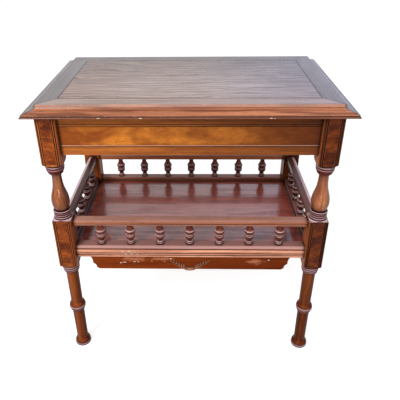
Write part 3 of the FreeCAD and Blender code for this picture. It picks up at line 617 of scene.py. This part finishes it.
def shaded_tops(tree, place, colour):
    """Upper and inner faces of the side rails: painted shade and dull reflection, paler reflection on the
    right.
    """
    look = facing(tree)
    across = parts_of(tree, place)["X"]
    inward = times(tree, look["X"], times(tree, math_of(tree, "SIGN", across), -1.0))
    hidden = math_of(tree, "MAXIMUM", look["Z"], inward)
    shade = tint(tree, math_of(tree, "GREATER_THAN", across, 0.0), TOP_SHADE, RIGHT_TOP_SHADE)
    return tint(tree, ramp(tree, hidden, (0.5, 0.0), (0.8, 1.0)), colour, shade, "MULTIPLY")


shelf_long = wood("shelf_long", "X", SHELF_DARK, SHELF_MID, SHELF_LIGHT, gloss=0.2, coat=0.1,
                  faded=shelf_tones)
shelf_ends = wood("shelf_ends", "Y", SHELF_DARK, SHELF_MID, SHELF_LIGHT, gloss=0.2, coat=0.1, worn=0.6,
                  faded=shaded_tops)
dress(shelf_long, "shelf_rail_front", "shelf_rail_back")
dress(shelf_ends, "shelf_rail_left", "shelf_rail_right")


# Shelf panel: a thin walnut board, tongued loose into grooves in the shelf rails, so that it can swell and
# shrink. Its polish is deep and glossy, and shows the spindles standing round it.

PANEL_DARK = (0.15, 0.024, 0.014, 1)
PANEL_MID = (0.37, 0.062, 0.034, 1)
PANEL_LIGHT = (0.46, 0.085, 0.047, 1)
shelf_gloss = wood("shelf_gloss", "X", PANEL_DARK, PANEL_MID, PANEL_LIGHT, roughness=0.2, gloss=0.8,
                   coat=1.0, glaze=CLEAR, waviness=0.03, lines=0.75, streaks=0.5)
dress(shelf_gloss, "shelf_panel")


# Gallery rails and spindles: moulded rails on twenty-two turned walnut spindles, which stand on the shelf
# rails by round pins, glued top and bottom.

STRIP_WIDTH = 0.013
STRIP_SOFT = 0.001
STRIP_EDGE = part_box("gallery_rail_right")[1][0] - STRIP_WIDTH


def outer_strip(tree, place, colour):
    """The shaded top of a side rail, with a painted highlight in a strip along its outer edge."""
    colour = shaded_tops(tree, place, colour)
    out = math_of(tree, "ABSOLUTE", parts_of(tree, place)["X"])
    strip = between(tree, out, STRIP_EDGE, STRIP_EDGE + STRIP_SOFT, high=0.9)
    return tint(tree, strip, colour, CREST_HIGHLIGHT)


RAIL_DARK = (0.15, 0.036, 0.014, 1)
RAIL_MID = (0.36, 0.115, 0.054, 1)
RAIL_LIGHT = (0.53, 0.200, 0.105, 1)
# The front and back rails carry a weak painted highlight on faces that look up.
gallery_front = wood("gallery_front", "X", RAIL_DARK, RAIL_MID, RAIL_LIGHT, bloom=0.25)
dress(gallery_front, "gallery_rail_front", "gallery_rail_back")
gallery_ends = wood("gallery_ends", "Y", RAIL_DARK, RAIL_MID, RAIL_LIGHT, gloss=0.3, faded=outer_strip)
dress(gallery_ends, "gallery_rail_left", "gallery_rail_right")

SPINDLE_DARK = (0.055, 0.008, 0.004, 1)
SPINDLE_MID = (0.125, 0.018, 0.009, 1)
SPINDLE_LIGHT = (0.24, 0.050, 0.023, 1)
# The painted highlight on the spindles, and the painted shade on the side spindles.
SPINDLE_HIGHLIGHT = (0.80, 0.57, 0.57, 1)
SIDE_SPINDLE_FROM = 0.29
SIDE_SPINDLE_SHADE = (0.5, 0.4, 0.5, 1)


def under_swells(tree, place, colour):
    """Painted shade on the undersides of the swells, and deeper painted shade on the side spindles."""
    out = math_of(tree, "ABSOLUTE", parts_of(tree, place)["X"])
    side = math_of(tree, "GREATER_THAN", out, SIDE_SPINDLE_FROM)
    colour = tint(tree, side, colour, SIDE_SPINDLE_SHADE, "MULTIPLY")
    down = times(tree, facing(tree)["Z"], -1.0)
    return tint(tree, ramp(tree, down, (0.05, 0.0), (0.5, 0.9)), colour, SHADE_AND_WAX_BROWN)


# A strong painted highlight on faces that look up.
spindle_walnut = wood("spindle_walnut", "Z", SPINDLE_DARK, SPINDLE_MID, SPINDLE_LIGHT, roughness=0.2,
                      gloss=0.12, coat=0.15, worn=0.3, bloom=0.9, bloom_from=0.42,
                      bloom_tone=SPINDLE_HIGHLIGHT, faded=under_swells)
dress(spindle_walnut, *[name for name in nodes if name.startswith("spindle_")])


# Lower aprons: two shaped walnut boards under the long shelf rails, sawn with coved ends and a low lobe in
# the middle, and held from behind by rubbed glue blocks. The front one has lost patches of its polish.

WORN_PATCHES = ((-0.150, 0.3155, 0.052, 0.012), (-0.072, 0.3175, 0.050, 0.009), (0.172, 0.309, 0.034, 0.012))
WORN_CHIPS = ((-0.184, 0.303, 0.005, 0.003), (-0.174, 0.305, 0.009, 0.002),
              (-0.147, 0.3065, 0.006, 0.0018), (-0.137, 0.3065, 0.004, 0.0018),
              (-0.101, 0.309, 0.0022, 0.0018), (-0.067, 0.308, 0.0024, 0.0018),
              (0.208, 0.314, 0.0045, 0.0022), (-0.051, 0.318, 0.003, 0.0035))
WORN_TONE = (0.46, 0.17, 0.085, 1)
# A painted shadow line on the apron, just under the rail.
APRON_SHADOW_LINE = (0.3225, 0.3265)
PATCH_SHARE = 0.7
PATCH_RAGGED = 2.6
CHIP_RAGGED = 0.55


def peeled(tree, place, colour):
    """Peeled patches, pale flakes at their lower edge, painted shade to the right and a painted shadow under
    the rail.
    """
    patch_edge = noise(tree, place, (70.0, 70.0, 190.0), detail=5.0, roughness=0.7)
    patch_edge = math_of(tree, "SUBTRACT", times(tree, patch_edge, PATCH_RAGGED), 1.0)
    flake_edge = times(tree, noise(tree, place, (190.0, 190.0, 260.0), detail=4.0), CHIP_RAGGED)
    worn = times(tree, spots(tree, place, patch_edge, WORN_PATCHES), PATCH_SHARE)
    colour = tint(tree, worn, shade_to_right(tree, place, colour, most=0.2), WORN_TONE)
    colour = lined(tree, place, colour, APRON_SHADOW_LINE, share=0.75)
    return tint(tree, spots(tree, place, flake_edge, WORN_CHIPS), colour, CHIP_PALE)


APRON_DARK = (0.075, 0.010, 0.002, 1)
APRON_MID = (0.175, 0.024, 0.003, 1)
APRON_LIGHT = (0.30, 0.054, 0.006, 1)
apron_walnut = wood("apron_walnut", "X", APRON_DARK, APRON_MID, APRON_LIGHT, gloss=0.06, coat=0.0,
                    faded=peeled)
dress(apron_walnut, "lower_apron_front", "lower_apron_back")


# Apron carving: a shell over the lobe of the front apron and a leafy spray to each side of it, cut in low
# relief with gouges from the same walnut. The crests are rubbed pale.

def deselect():
    """Nothing is selected."""
    bpy.ops.object.select_all(action="DESELECT")


def pick(piece, wanted):
    """Selects the corners of a mesh that lie where they are wanted, in edit mode."""
    bpy.ops.object.mode_set(mode="EDIT")
    bpy.ops.mesh.select_mode(type="VERT")
    bpy.ops.mesh.select_all(action="DESELECT")
    bpy.ops.object.mode_set(mode="OBJECT")
    for corner in piece.data.vertices:
        corner.select = wanted(corner.co)
    bpy.ops.object.mode_set(mode="EDIT")


def raised(way):
    """The selected faces of a mesh, drawn out along a way."""
    bpy.ops.mesh.extrude_region_move(TRANSFORM_OT_translate={"value": way})


def smoothed(piece):
    """A mesh rounded by subdivision, for good."""
    made = piece.modifiers.new("rounded", "SUBSURF")
    made.levels = 1
    made.render_levels = 1
    bpy.ops.object.modifier_apply(modifier=made.name)
    bpy.ops.object.shade_smooth()
    return piece


def settled(piece):
    """A piece's place and turn put into its mesh."""
    bpy.ops.object.transform_apply(location=True, rotation=True, scale=True)
    return piece


def joined(pieces, name):
    """Pieces joined into the first of them."""
    deselect()
    for piece in pieces:
        piece.select_set(True)
    bpy.context.view_layer.objects.active = pieces[0]
    bpy.ops.object.join()
    pieces[0].name = pieces[0].data.name = name
    return pieces[0]


RELIEF = 0.0016
SUNK = 0.0006
APRON_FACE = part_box("lower_apron_front")[0][1]
SHELL_HALF_X = 0.0155
SHELL_HALF_Z = 0.0052
SHELL_HEIGHT = 0.2838
SHELL_EDGE = 0.7 * RELIEF
SHELL_RIMS = ((0.97, 0.3), (0.90, 0.0), (0.88, -0.7), (0.80, 0.0), (0.93, 0.7), (0.85, 0.1), (0.80, -0.4),
              (0.5, 0.3))
SHELL_CREASE = math.radians(50)


def carved_shell():
    """The shell: an oval with two raised rims, one inside the other, and a low dome in the middle."""
    deselect()
    bpy.ops.mesh.primitive_circle_add(vertices=32, radius=1.0, fill_type="NGON")
    shell = bpy.context.object
    bpy.ops.object.mode_set(mode="EDIT")
    bpy.ops.mesh.select_all(action="SELECT")
    bpy.ops.transform.resize(value=(SHELL_HALF_X, SHELL_HALF_Z, 1.0))
    bpy.ops.transform.translate(value=(0, 0, -SUNK))
    raised((0, 0, SUNK + SHELL_EDGE))
    for size, rise in SHELL_RIMS:
        raised((0, 0, rise * RELIEF))
        bpy.ops.transform.resize(value=(size, size, 1.0))
    bpy.ops.object.mode_set(mode="OBJECT")
    bpy.ops.object.shade_smooth_by_angle(angle=SHELL_CREASE)
    shell.location = (0, APRON_FACE, SHELL_HEIGHT)
    shell.rotation_euler = (QUARTER_TURN, 0, 0)
    return settled(shell)


STEM_POINTS = ((0.0145, 0.2885), (0.0205, 0.2920), (0.0275, 0.2965), (0.0345, 0.3015), (0.0410, 0.3060),
               (0.0465, 0.3090))
STEM_RADIUS = 0.0014
STEM_TAPER = 0.88


def carved_stem():
    """The stem of the right-hand spray, round and tapering, half sunk into the board."""
    deselect()
    bpy.ops.mesh.primitive_circle_add(vertices=8, radius=STEM_RADIUS, fill_type="NGON",
                                      rotation=(0, QUARTER_TURN, 0))
    stem = settled(bpy.context.object)
    bpy.ops.object.mode_set(mode="EDIT")
    bpy.ops.mesh.select_all(action="SELECT")
    bpy.ops.transform.translate(value=(STEM_POINTS[0][0], APRON_FACE, STEM_POINTS[0][1]))
    for before, after in zip(STEM_POINTS, STEM_POINTS[1:]):
        raised((after[0] - before[0], 0, after[1] - before[1]))
        bpy.ops.transform.resize(value=(1.0, STEM_TAPER, STEM_TAPER))
    bpy.ops.mesh.select_all(action="SELECT")
    bpy.ops.mesh.normals_make_consistent(inside=False)
    bpy.ops.object.mode_set(mode="OBJECT")
    bpy.ops.object.shade_smooth()
    return stem


LEAF_LENGTH = 0.0085
LEAF_WIDTH = 0.0046
LEAF_EDGE = 0.5 * RELIEF
LEAF_RIM = 0.16 * LEAF_WIDTH
LEAF_RISE = 0.5 * RELIEF
LEAF_HOLLOW = 0.6 * RELIEF
LEAF_TIP_FROM = 0.9 * LEAF_LENGTH
LEAF_TIP = 0.35 * LEAF_LENGTH


def carved_leaf():
    """One leaf, flat in X and Y with its stalk at the origin: a raised rim, a hollow, and a sharp tip."""
    deselect()
    bpy.ops.mesh.primitive_circle_add(vertices=12, radius=0.5, fill_type="NGON")
    leaf = bpy.context.object
    bpy.ops.object.mode_set(mode="EDIT")
    bpy.ops.mesh.select_all(action="SELECT")
    bpy.ops.transform.resize(value=(LEAF_LENGTH, LEAF_WIDTH, 1.0))
    bpy.ops.transform.translate(value=(LEAF_LENGTH / 2, 0, -SUNK))
    raised((0, 0, SUNK + LEAF_EDGE))
    bpy.ops.mesh.inset(thickness=LEAF_RIM, depth=LEAF_RISE)
    bpy.ops.mesh.inset(thickness=LEAF_RIM, depth=-LEAF_HOLLOW)
    pick(leaf, lambda corner: corner.x > LEAF_TIP_FROM)
    bpy.ops.transform.translate(value=(LEAF_TIP, 0, 0))
    bpy.ops.object.mode_set(mode="OBJECT")
    return smoothed(leaf)


LEAF_TURNS = (math.radians(78), math.radians(-8))
LEAF_TAPER = 0.08
END_LEAF_TURN = math.radians(30)
END_LEAF_SIZE = 0.7


def carved_spray():
    """Both sprays: a stem with pairs of leaves and one at its end, and the same mirrored to the left."""
    stem = carved_stem()
    blank = carved_leaf()
    places = [(STEM_POINTS[-1], END_LEAF_TURN, END_LEAF_SIZE)]
    for step, point in enumerate(STEM_POINTS[:-1]):
        places += [(point, turn, 1.0 - LEAF_TAPER * step) for turn in LEAF_TURNS]
    leaves = []
    for (x, z), turn, size in places:
        deselect()
        blank.select_set(True)
        bpy.context.view_layer.objects.active = blank
        bpy.ops.object.duplicate(linked=False)
        leaf = bpy.context.object
        leaf.location = (x, APRON_FACE, z)
        leaf.rotation_euler = (QUARTER_TURN, -turn, 0)
        leaf.scale = (size, size, 1.0)
        leaves.append(settled(leaf))
    deselect()
    blank.select_set(True)
    bpy.ops.object.delete()
    spray = joined([stem] + leaves, "spray")
    mirror = spray.modifiers.new("mirrored", "MIRROR")
    mirror.use_mirror_merge = False
    bpy.ops.object.modifier_apply(modifier=mirror.name)
    return spray


CARVED_PALE = (0.62, 0.33, 0.22, 1)
CREST_RANGE = (APRON_FACE - RELIEF, APRON_FACE - 0.5 * RELIEF)


def rubbed_crest(tree, place, colour):
    """Polish worn off whatever stands highest out of the apron's face."""
    crest = between(tree, parts_of(tree, place)["Y"], *CREST_RANGE, low=0.8, high=0.0)
    return tint(tree, crest, colour, CARVED_PALE)


carved_walnut = wood("carved_walnut", "X", APRON_DARK, APRON_MID, APRON_LIGHT, faded=rubbed_crest)
carving = joined([carved_shell(), carved_spray()], "apron_carving")
carving.data.materials.clear()
carving.data.materials.append(carved_walnut)
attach(carving, "root")


# Blocks and tongues out of sight: plain sawn softwood, left unpolished. The blocks are glued or screwed in
# the angles behind the aprons and the frieze, and the tongues lie in slots inside the mitres of the top.

PINE_DARK = (0.30, 0.17, 0.075, 1)
PINE_MID = (0.46, 0.29, 0.14, 1)
PINE_LIGHT = (0.56, 0.38, 0.20, 1)
pine = wood("sawn_pine", "X", PINE_DARK, PINE_MID, PINE_LIGHT, roughness=0.75, coat=0.0, worn=0.1)
dress(pine, "top_blocks", "lower_apron_blocks", "top_mitre_tongues")


# Screws: ten countersunk steel wood screws, driven up through the blocks into the underside of the top.
# They are dulled and spotted with age.

STEEL_GREY = (0.30, 0.28, 0.26, 1)
STEEL_BROWN = (0.12, 0.08, 0.06, 1)


def screw_steel():
    """Old bright steel, browned in blotches."""
    material, tree, shader, place = polished("screw_steel", gloss=0.5, coat=0.0)
    blotch = noise(tree, place, (400.0, 400.0, 400.0), detail=4.0)
    tree.links.new(tint(tree, blotch, STEEL_GREY, STEEL_BROWN), shader.inputs["Base Color"])
    tree.links.new(ramp(tree, blotch, (0.3, 0.35), (0.7, 0.6)), shader.inputs["Roughness"])
    shader.inputs["Metallic"].default_value = 1.0
    return material


dress(screw_steel(), "top_screws")


# Top frame: four walnut members with a moulded edge, mitred at the corners over loose tongues. The front
# one is worn pale along its lip, has painted shade on its lowest bead and a painted reflection greying its
# face, and old wax has browned the others, whose upper faces carry a cool painted reflection.

FIELD_HALF_X = 0.2998
FIELD_HALF_Y = 0.1648
JOINT_WIDTHS = (0.0012, 0.0030)
JOINT_DIRT = (0.02, 0.008, 0.008, 1)


def joint_line(tree, place):
    """A thin line along the joints of the top: round the panel, and down the mitres of the frame."""
    parts = parts_of(tree, place)
    x = math_of(tree, "SUBTRACT", math_of(tree, "ABSOLUTE", parts["X"]), FIELD_HALF_X)
    y = math_of(tree, "SUBTRACT", math_of(tree, "ABSOLUTE", parts["Y"]), FIELD_HALF_Y)
    rim = math_of(tree, "ABSOLUTE", math_of(tree, "MAXIMUM", x, y))
    inside = math_of(tree, "LESS_THAN", math_of(tree, "MINIMUM", x, y), 0.0)
    mitre = math_of(tree, "ADD", away_from(tree, x, y), inside)
    return between(tree, math_of(tree, "MINIMUM", rim, mitre), *JOINT_WIDTHS, low=0.95, high=0.0)


def joint_dirt(tree, place, colour):
    """Dirt in the joints of the top."""
    return tint(tree, joint_line(tree, place), colour, JOINT_DIRT)


def joint_dull(tree, place):
    """No polish on the dirt in the joints."""
    return math_of(tree, "SUBTRACT", 1.0, joint_line(tree, place))


FACE_HEIGHTS = (0.7462, 0.7468)
LIP_HEIGHTS = (0.7405, 0.7412)
# Painted shade on the lowest bead and in the creases.
SHADED_BEAD_HEIGHTS = (0.7275, 0.7290)
TOP_CREASE_SHADE = ((0.7392, 0.7403), (0.7279, 0.7292))
TOP_CHIPS = ((-0.207, 0.7285, 0.009, 0.0016), (-0.196, 0.7255, 0.006, 0.0014),
             (-0.180, 0.729, 0.005, 0.0012), (-0.116, 0.7285, 0.010, 0.0018),
             (-0.104, 0.7255, 0.006, 0.0016), (-0.262, 0.729, 0.005, 0.0012),
             (-0.060, 0.729, 0.005, 0.0012), (0.178, 0.7255, 0.006, 0.0014),
             (0.185, 0.7245, 0.003, 0.0012))
TOP_DARK = (0.11, 0.026, 0.010, 1)
TOP_MID = (0.44, 0.140, 0.060, 1)
TOP_LIGHT = (0.68, 0.250, 0.110, 1)
TOP_LIP = (0.85, 0.55, 0.46, 1)
# The tone of the painted reflection that greys the front member's face.
TOP_SKY_REFLECTION = (0.165, 0.112, 0.086, 1)


def face_polish(tree, place):
    """Full polish on the flat face of the front member, and little on its worn edge."""
    level = between(tree, parts_of(tree, place)["Z"], *FACE_HEIGHTS, low=0.3, high=0.8)
    return times(tree, level, joint_dull(tree, place))


def top_front(tree, place, colour):
    """The front member: chipped, painted shade on its lowest bead and creases, a pale lip, a painted
    reflection on its face.
    """
    height = parts_of(tree, place)["Z"]
    colour = tint(tree, between(tree, height, *SHADED_BEAD_HEIGHTS, low=0.75, high=0.0), colour, TOP_DARK)
    colour = flaked(tree, place, colour, TOP_CHIPS)
    colour = lined(tree, place, colour, *TOP_CREASE_SHADE, share=0.7)
    colour = tint(tree, between(tree, height, *LIP_HEIGHTS, high=0.3), colour, TOP_LIP)
    colour = tint(tree, between(tree, height, *FACE_HEIGHTS, high=0.7), colour, TOP_SKY_REFLECTION)
    return joint_dirt(tree, place, colour)


top_walnut_x = wood("top_walnut_x", "X", TOP_DARK, TOP_MID, TOP_LIGHT, gloss=0.2, coat=1.0, streaks=0.7,
                    glaze=CLEAR, faded=top_front, thinned=face_polish)
dress(top_walnut_x, "top_frame_front")

SIDE_EDGE = (0.50, 0.55, 0.80, 1)
# Upper faces tinted cool, as a painted reflection of the sky.
SIDE_SKY_TINT = (0.27, 0.60, 1.25, 1)


def top_sides(tree, place, colour):
    """The other members: a browner edge than the front one's, and upper faces tinted cool as a painted sky
    reflection.
    """
    sky_tinted = tint(tree, ramp(tree, facing(tree)["Z"], (0.15, 0.0), (0.5, 1.0)), SIDE_EDGE, SIDE_SKY_TINT)
    return joint_dirt(tree, place, tint(tree, 1.0, colour, sky_tinted, "MULTIPLY"))


for axis, names in (("X", ("top_frame_back",)), ("Y", ("top_frame_left", "top_frame_right"))):
    top_side = wood("top_side_" + axis.lower(), axis, TOP_DARK, TOP_MID, TOP_LIGHT, gloss=0.5, coat=0.2,
                    streaks=0.3, lines=0.4, glaze=CLEAR, faded=top_sides)
    dress(top_side, *names)


# Top panel: one wide board of walnut with a lively wavy grain, tongued into the frame on all four edges and
# left loose in its grooves. It is paler to the front, with a cool painted reflection to the right, and the
# polish is thinner at the back and ends.

BACK_THINNING = (-0.1, 0.165)
END_THINNING = (0.1, 0.3)


def thin_back(tree, place):
    """Polish that thins out towards the back and the ends of the panel."""
    parts = parts_of(tree, place)
    back = between(tree, parts["Y"], *BACK_THINNING, low=1.0, high=0.15)
    out = math_of(tree, "ABSOLUTE", parts["X"])
    ends = between(tree, out, *END_THINNING, low=1.0, high=0.45)
    return times(tree, times(tree, back, ends), joint_dull(tree, place))


FIELD_DARK = (0.085, 0.044, 0.028, 1)
FIELD_MID = (0.31, 0.178, 0.115, 1)
FIELD_LIGHT = (0.43, 0.262, 0.180, 1)
# A cool painted reflection of the daylight, to the right of the panel.
FIELD_SKY_TINT = (0.74, 0.98, 1.60, 1)
COOL_RANGE = (-0.05, 0.3)
FIELD_NEAR = (1.28, 1.13, 1.04, 1)
FIELD_FAR = (0.80, 0.84, 0.92, 1)


def panel_tones(tree, place, colour):
    """The panel's colour: a cool painted reflection to the right, paler to the front, and dirt round its
    edge.
    """
    parts = parts_of(tree, place)
    colour = tint(tree, between(tree, parts["X"], *COOL_RANGE), colour, FIELD_SKY_TINT, "MULTIPLY")
    back = between(tree, parts["Y"], -FIELD_HALF_Y, FIELD_HALF_Y)
    front_to_back = tint(tree, back, FIELD_NEAR, FIELD_FAR)
    return joint_dirt(tree, place, tint(tree, 1.0, colour, front_to_back, "MULTIPLY"))


field_walnut = wood("field_walnut", "X", FIELD_DARK, FIELD_MID, FIELD_LIGHT, waviness=0.06, gloss=0.35,
                    coat=1.0, glaze=CLEAR, lines=0.8, streaks=0.25, waves=0.8, faded=panel_tones,
                    thinned=thin_back)
dress(field_walnut, "top_panel")


# Floor: a seamless sheet of pale studio paper, rolled out flat under the table. It is bright enough to pass
# into the white behind, and keeps the table's soft shadow.

FLOOR_SIZE = 40.0
FLOOR_WHITE = (0.5, 0.5, 0.5, 1)
FLOOR_LIFT = 0.73
FLOOR_GLINT = 0.45
WHITE = (1, 1, 1, 1)
bpy.ops.mesh.primitive_plane_add(size=FLOOR_SIZE)
floor = bpy.context.object
floor.name = "floor"
paper = bpy.data.materials.new("paper")
paper.use_nodes = True
paper_tree = paper.node_tree
paper_shader = paper_tree.nodes["Principled BSDF"]
paper_shader.inputs["Base Color"].default_value = FLOOR_WHITE
paper_shader.inputs["Roughness"].default_value = 0.9
paper_shader.inputs["Specular IOR Level"].default_value = 0.0
paper_shader.inputs["Emission Color"].default_value = WHITE
paper_path = put(paper_tree, "ShaderNodeLightPath").outputs
mirrored = math_of(paper_tree, "MAXIMUM", paper_path["Is Glossy Ray"], paper_path["Is Transmission Ray"])
mirrored = times(paper_tree, mirrored, FLOOR_GLINT)
looked_at = times(paper_tree, paper_path["Is Camera Ray"], FLOOR_LIFT)
paper_glow = math_of(paper_tree, "MAXIMUM", mirrored, looked_at)
paper_tree.links.new(paper_glow, paper_shader.inputs["Emission Strength"])
floor.data.materials.append(paper)


# Studio light: a white surround, brighter overhead, that polish mirrors with a cool cast from the right. The
# main lamp is broad and soft, high at the front left, with a weak one at the right. A small low lamp in front
# puts shine on the turnings.

SURROUND_LOW = 0.25
SURROUND_HIGH = 0.72
DAYLIGHT_LEFT = (1.0, 1.0, 1.05, 1)
DAYLIGHT_RIGHT = (0.98, 1.03, 1.34, 1)
DAYLIGHT_FULL = 0.28
world = bpy.data.worlds.new("studio")
bpy.context.scene.world = world
world.use_nodes = True
sky_tree = world.node_tree
sky_tree.nodes.clear()
path = put(sky_tree, "ShaderNodeLightPath").outputs
direct = highest(sky_tree, [path["Is Camera Ray"], path["Is Glossy Ray"], path["Is Transmission Ray"]])
way = parts_of(sky_tree, put(sky_tree, "ShaderNodeTexCoord").outputs["Generated"])
surround = between(sky_tree, way["Z"], 0.0, 1.0, SURROUND_LOW, SURROUND_HIGH)
right = between(sky_tree, way["X"], 0.0, DAYLIGHT_FULL)
daylight = tint(sky_tree, right, DAYLIGHT_LEFT, DAYLIGHT_RIGHT)
tone = tint(sky_tree, path["Is Glossy Ray"], WHITE, daylight)
strength = between(sky_tree, direct, 0.0, 1.0, surround, 1.0)
sky = put(sky_tree, "ShaderNodeBackground", {"Color": tone, "Strength": strength})
put(sky_tree, "ShaderNodeOutputWorld", {"Surface": sky.outputs[0]})
TABLE_MIDDLE = (0.0, 0.0, 0.45)


def lamp(name, place, size, power):
    """A square soft lamp aimed at the middle of the table."""
    data = bpy.data.lights.new(name, "AREA")
    data.size = size
    data.energy = power
    made = bpy.data.objects.new(name, data)
    bpy.context.scene.collection.objects.link(made)
    aimed = (Vector(TABLE_MIDDLE) - Vector(place)).to_track_quat("-Z", "Y")
    made.matrix_world = Matrix.Translation(place) @ aimed.to_matrix().to_4x4()


lamp("key_lamp", (-1.5, -2.3, 2.5), size=1.2, power=86.0)
lamp("fill_lamp", (2.1, -1.7, 1.7), size=1.0, power=10.0)
lamp("front_lamp", (0.0, -3.0, 0.6), size=0.5, power=13.0)


# Camera: a little above the table and in front of it, at the height of someone who stands close by. It is
# turned and tipped slightly, and its lens is shifted so that the table sits low in the picture.

CAMERA_PLACE = (0.0183, -1.1822, 1.0952)
CAMERA_PITCH = math.radians(29.54)
CAMERA_YAW = math.radians(1.679)
CAMERA_ROLL = math.radians(0.709)
camera_data = bpy.data.cameras.new("camera")
camera_data.sensor_width = 36.0
camera_data.lens = 42.06
camera_data.shift_x = 0.0377
camera_data.shift_y = -0.035
camera = bpy.data.objects.new("camera", camera_data)
bpy.context.scene.collection.objects.link(camera)
aim = Matrix.Rotation(CAMERA_YAW, 4, "Z") @ Matrix.Rotation(QUARTER_TURN - CAMERA_PITCH, 4, "X")
camera.matrix_world = Matrix.Translation(CAMERA_PLACE) @ aim @ Matrix.Rotation(-CAMERA_ROLL, 4, "Z")
bpy.context.scene.camera = camera
bpy.context.scene.view_settings.view_transform = "Standard"
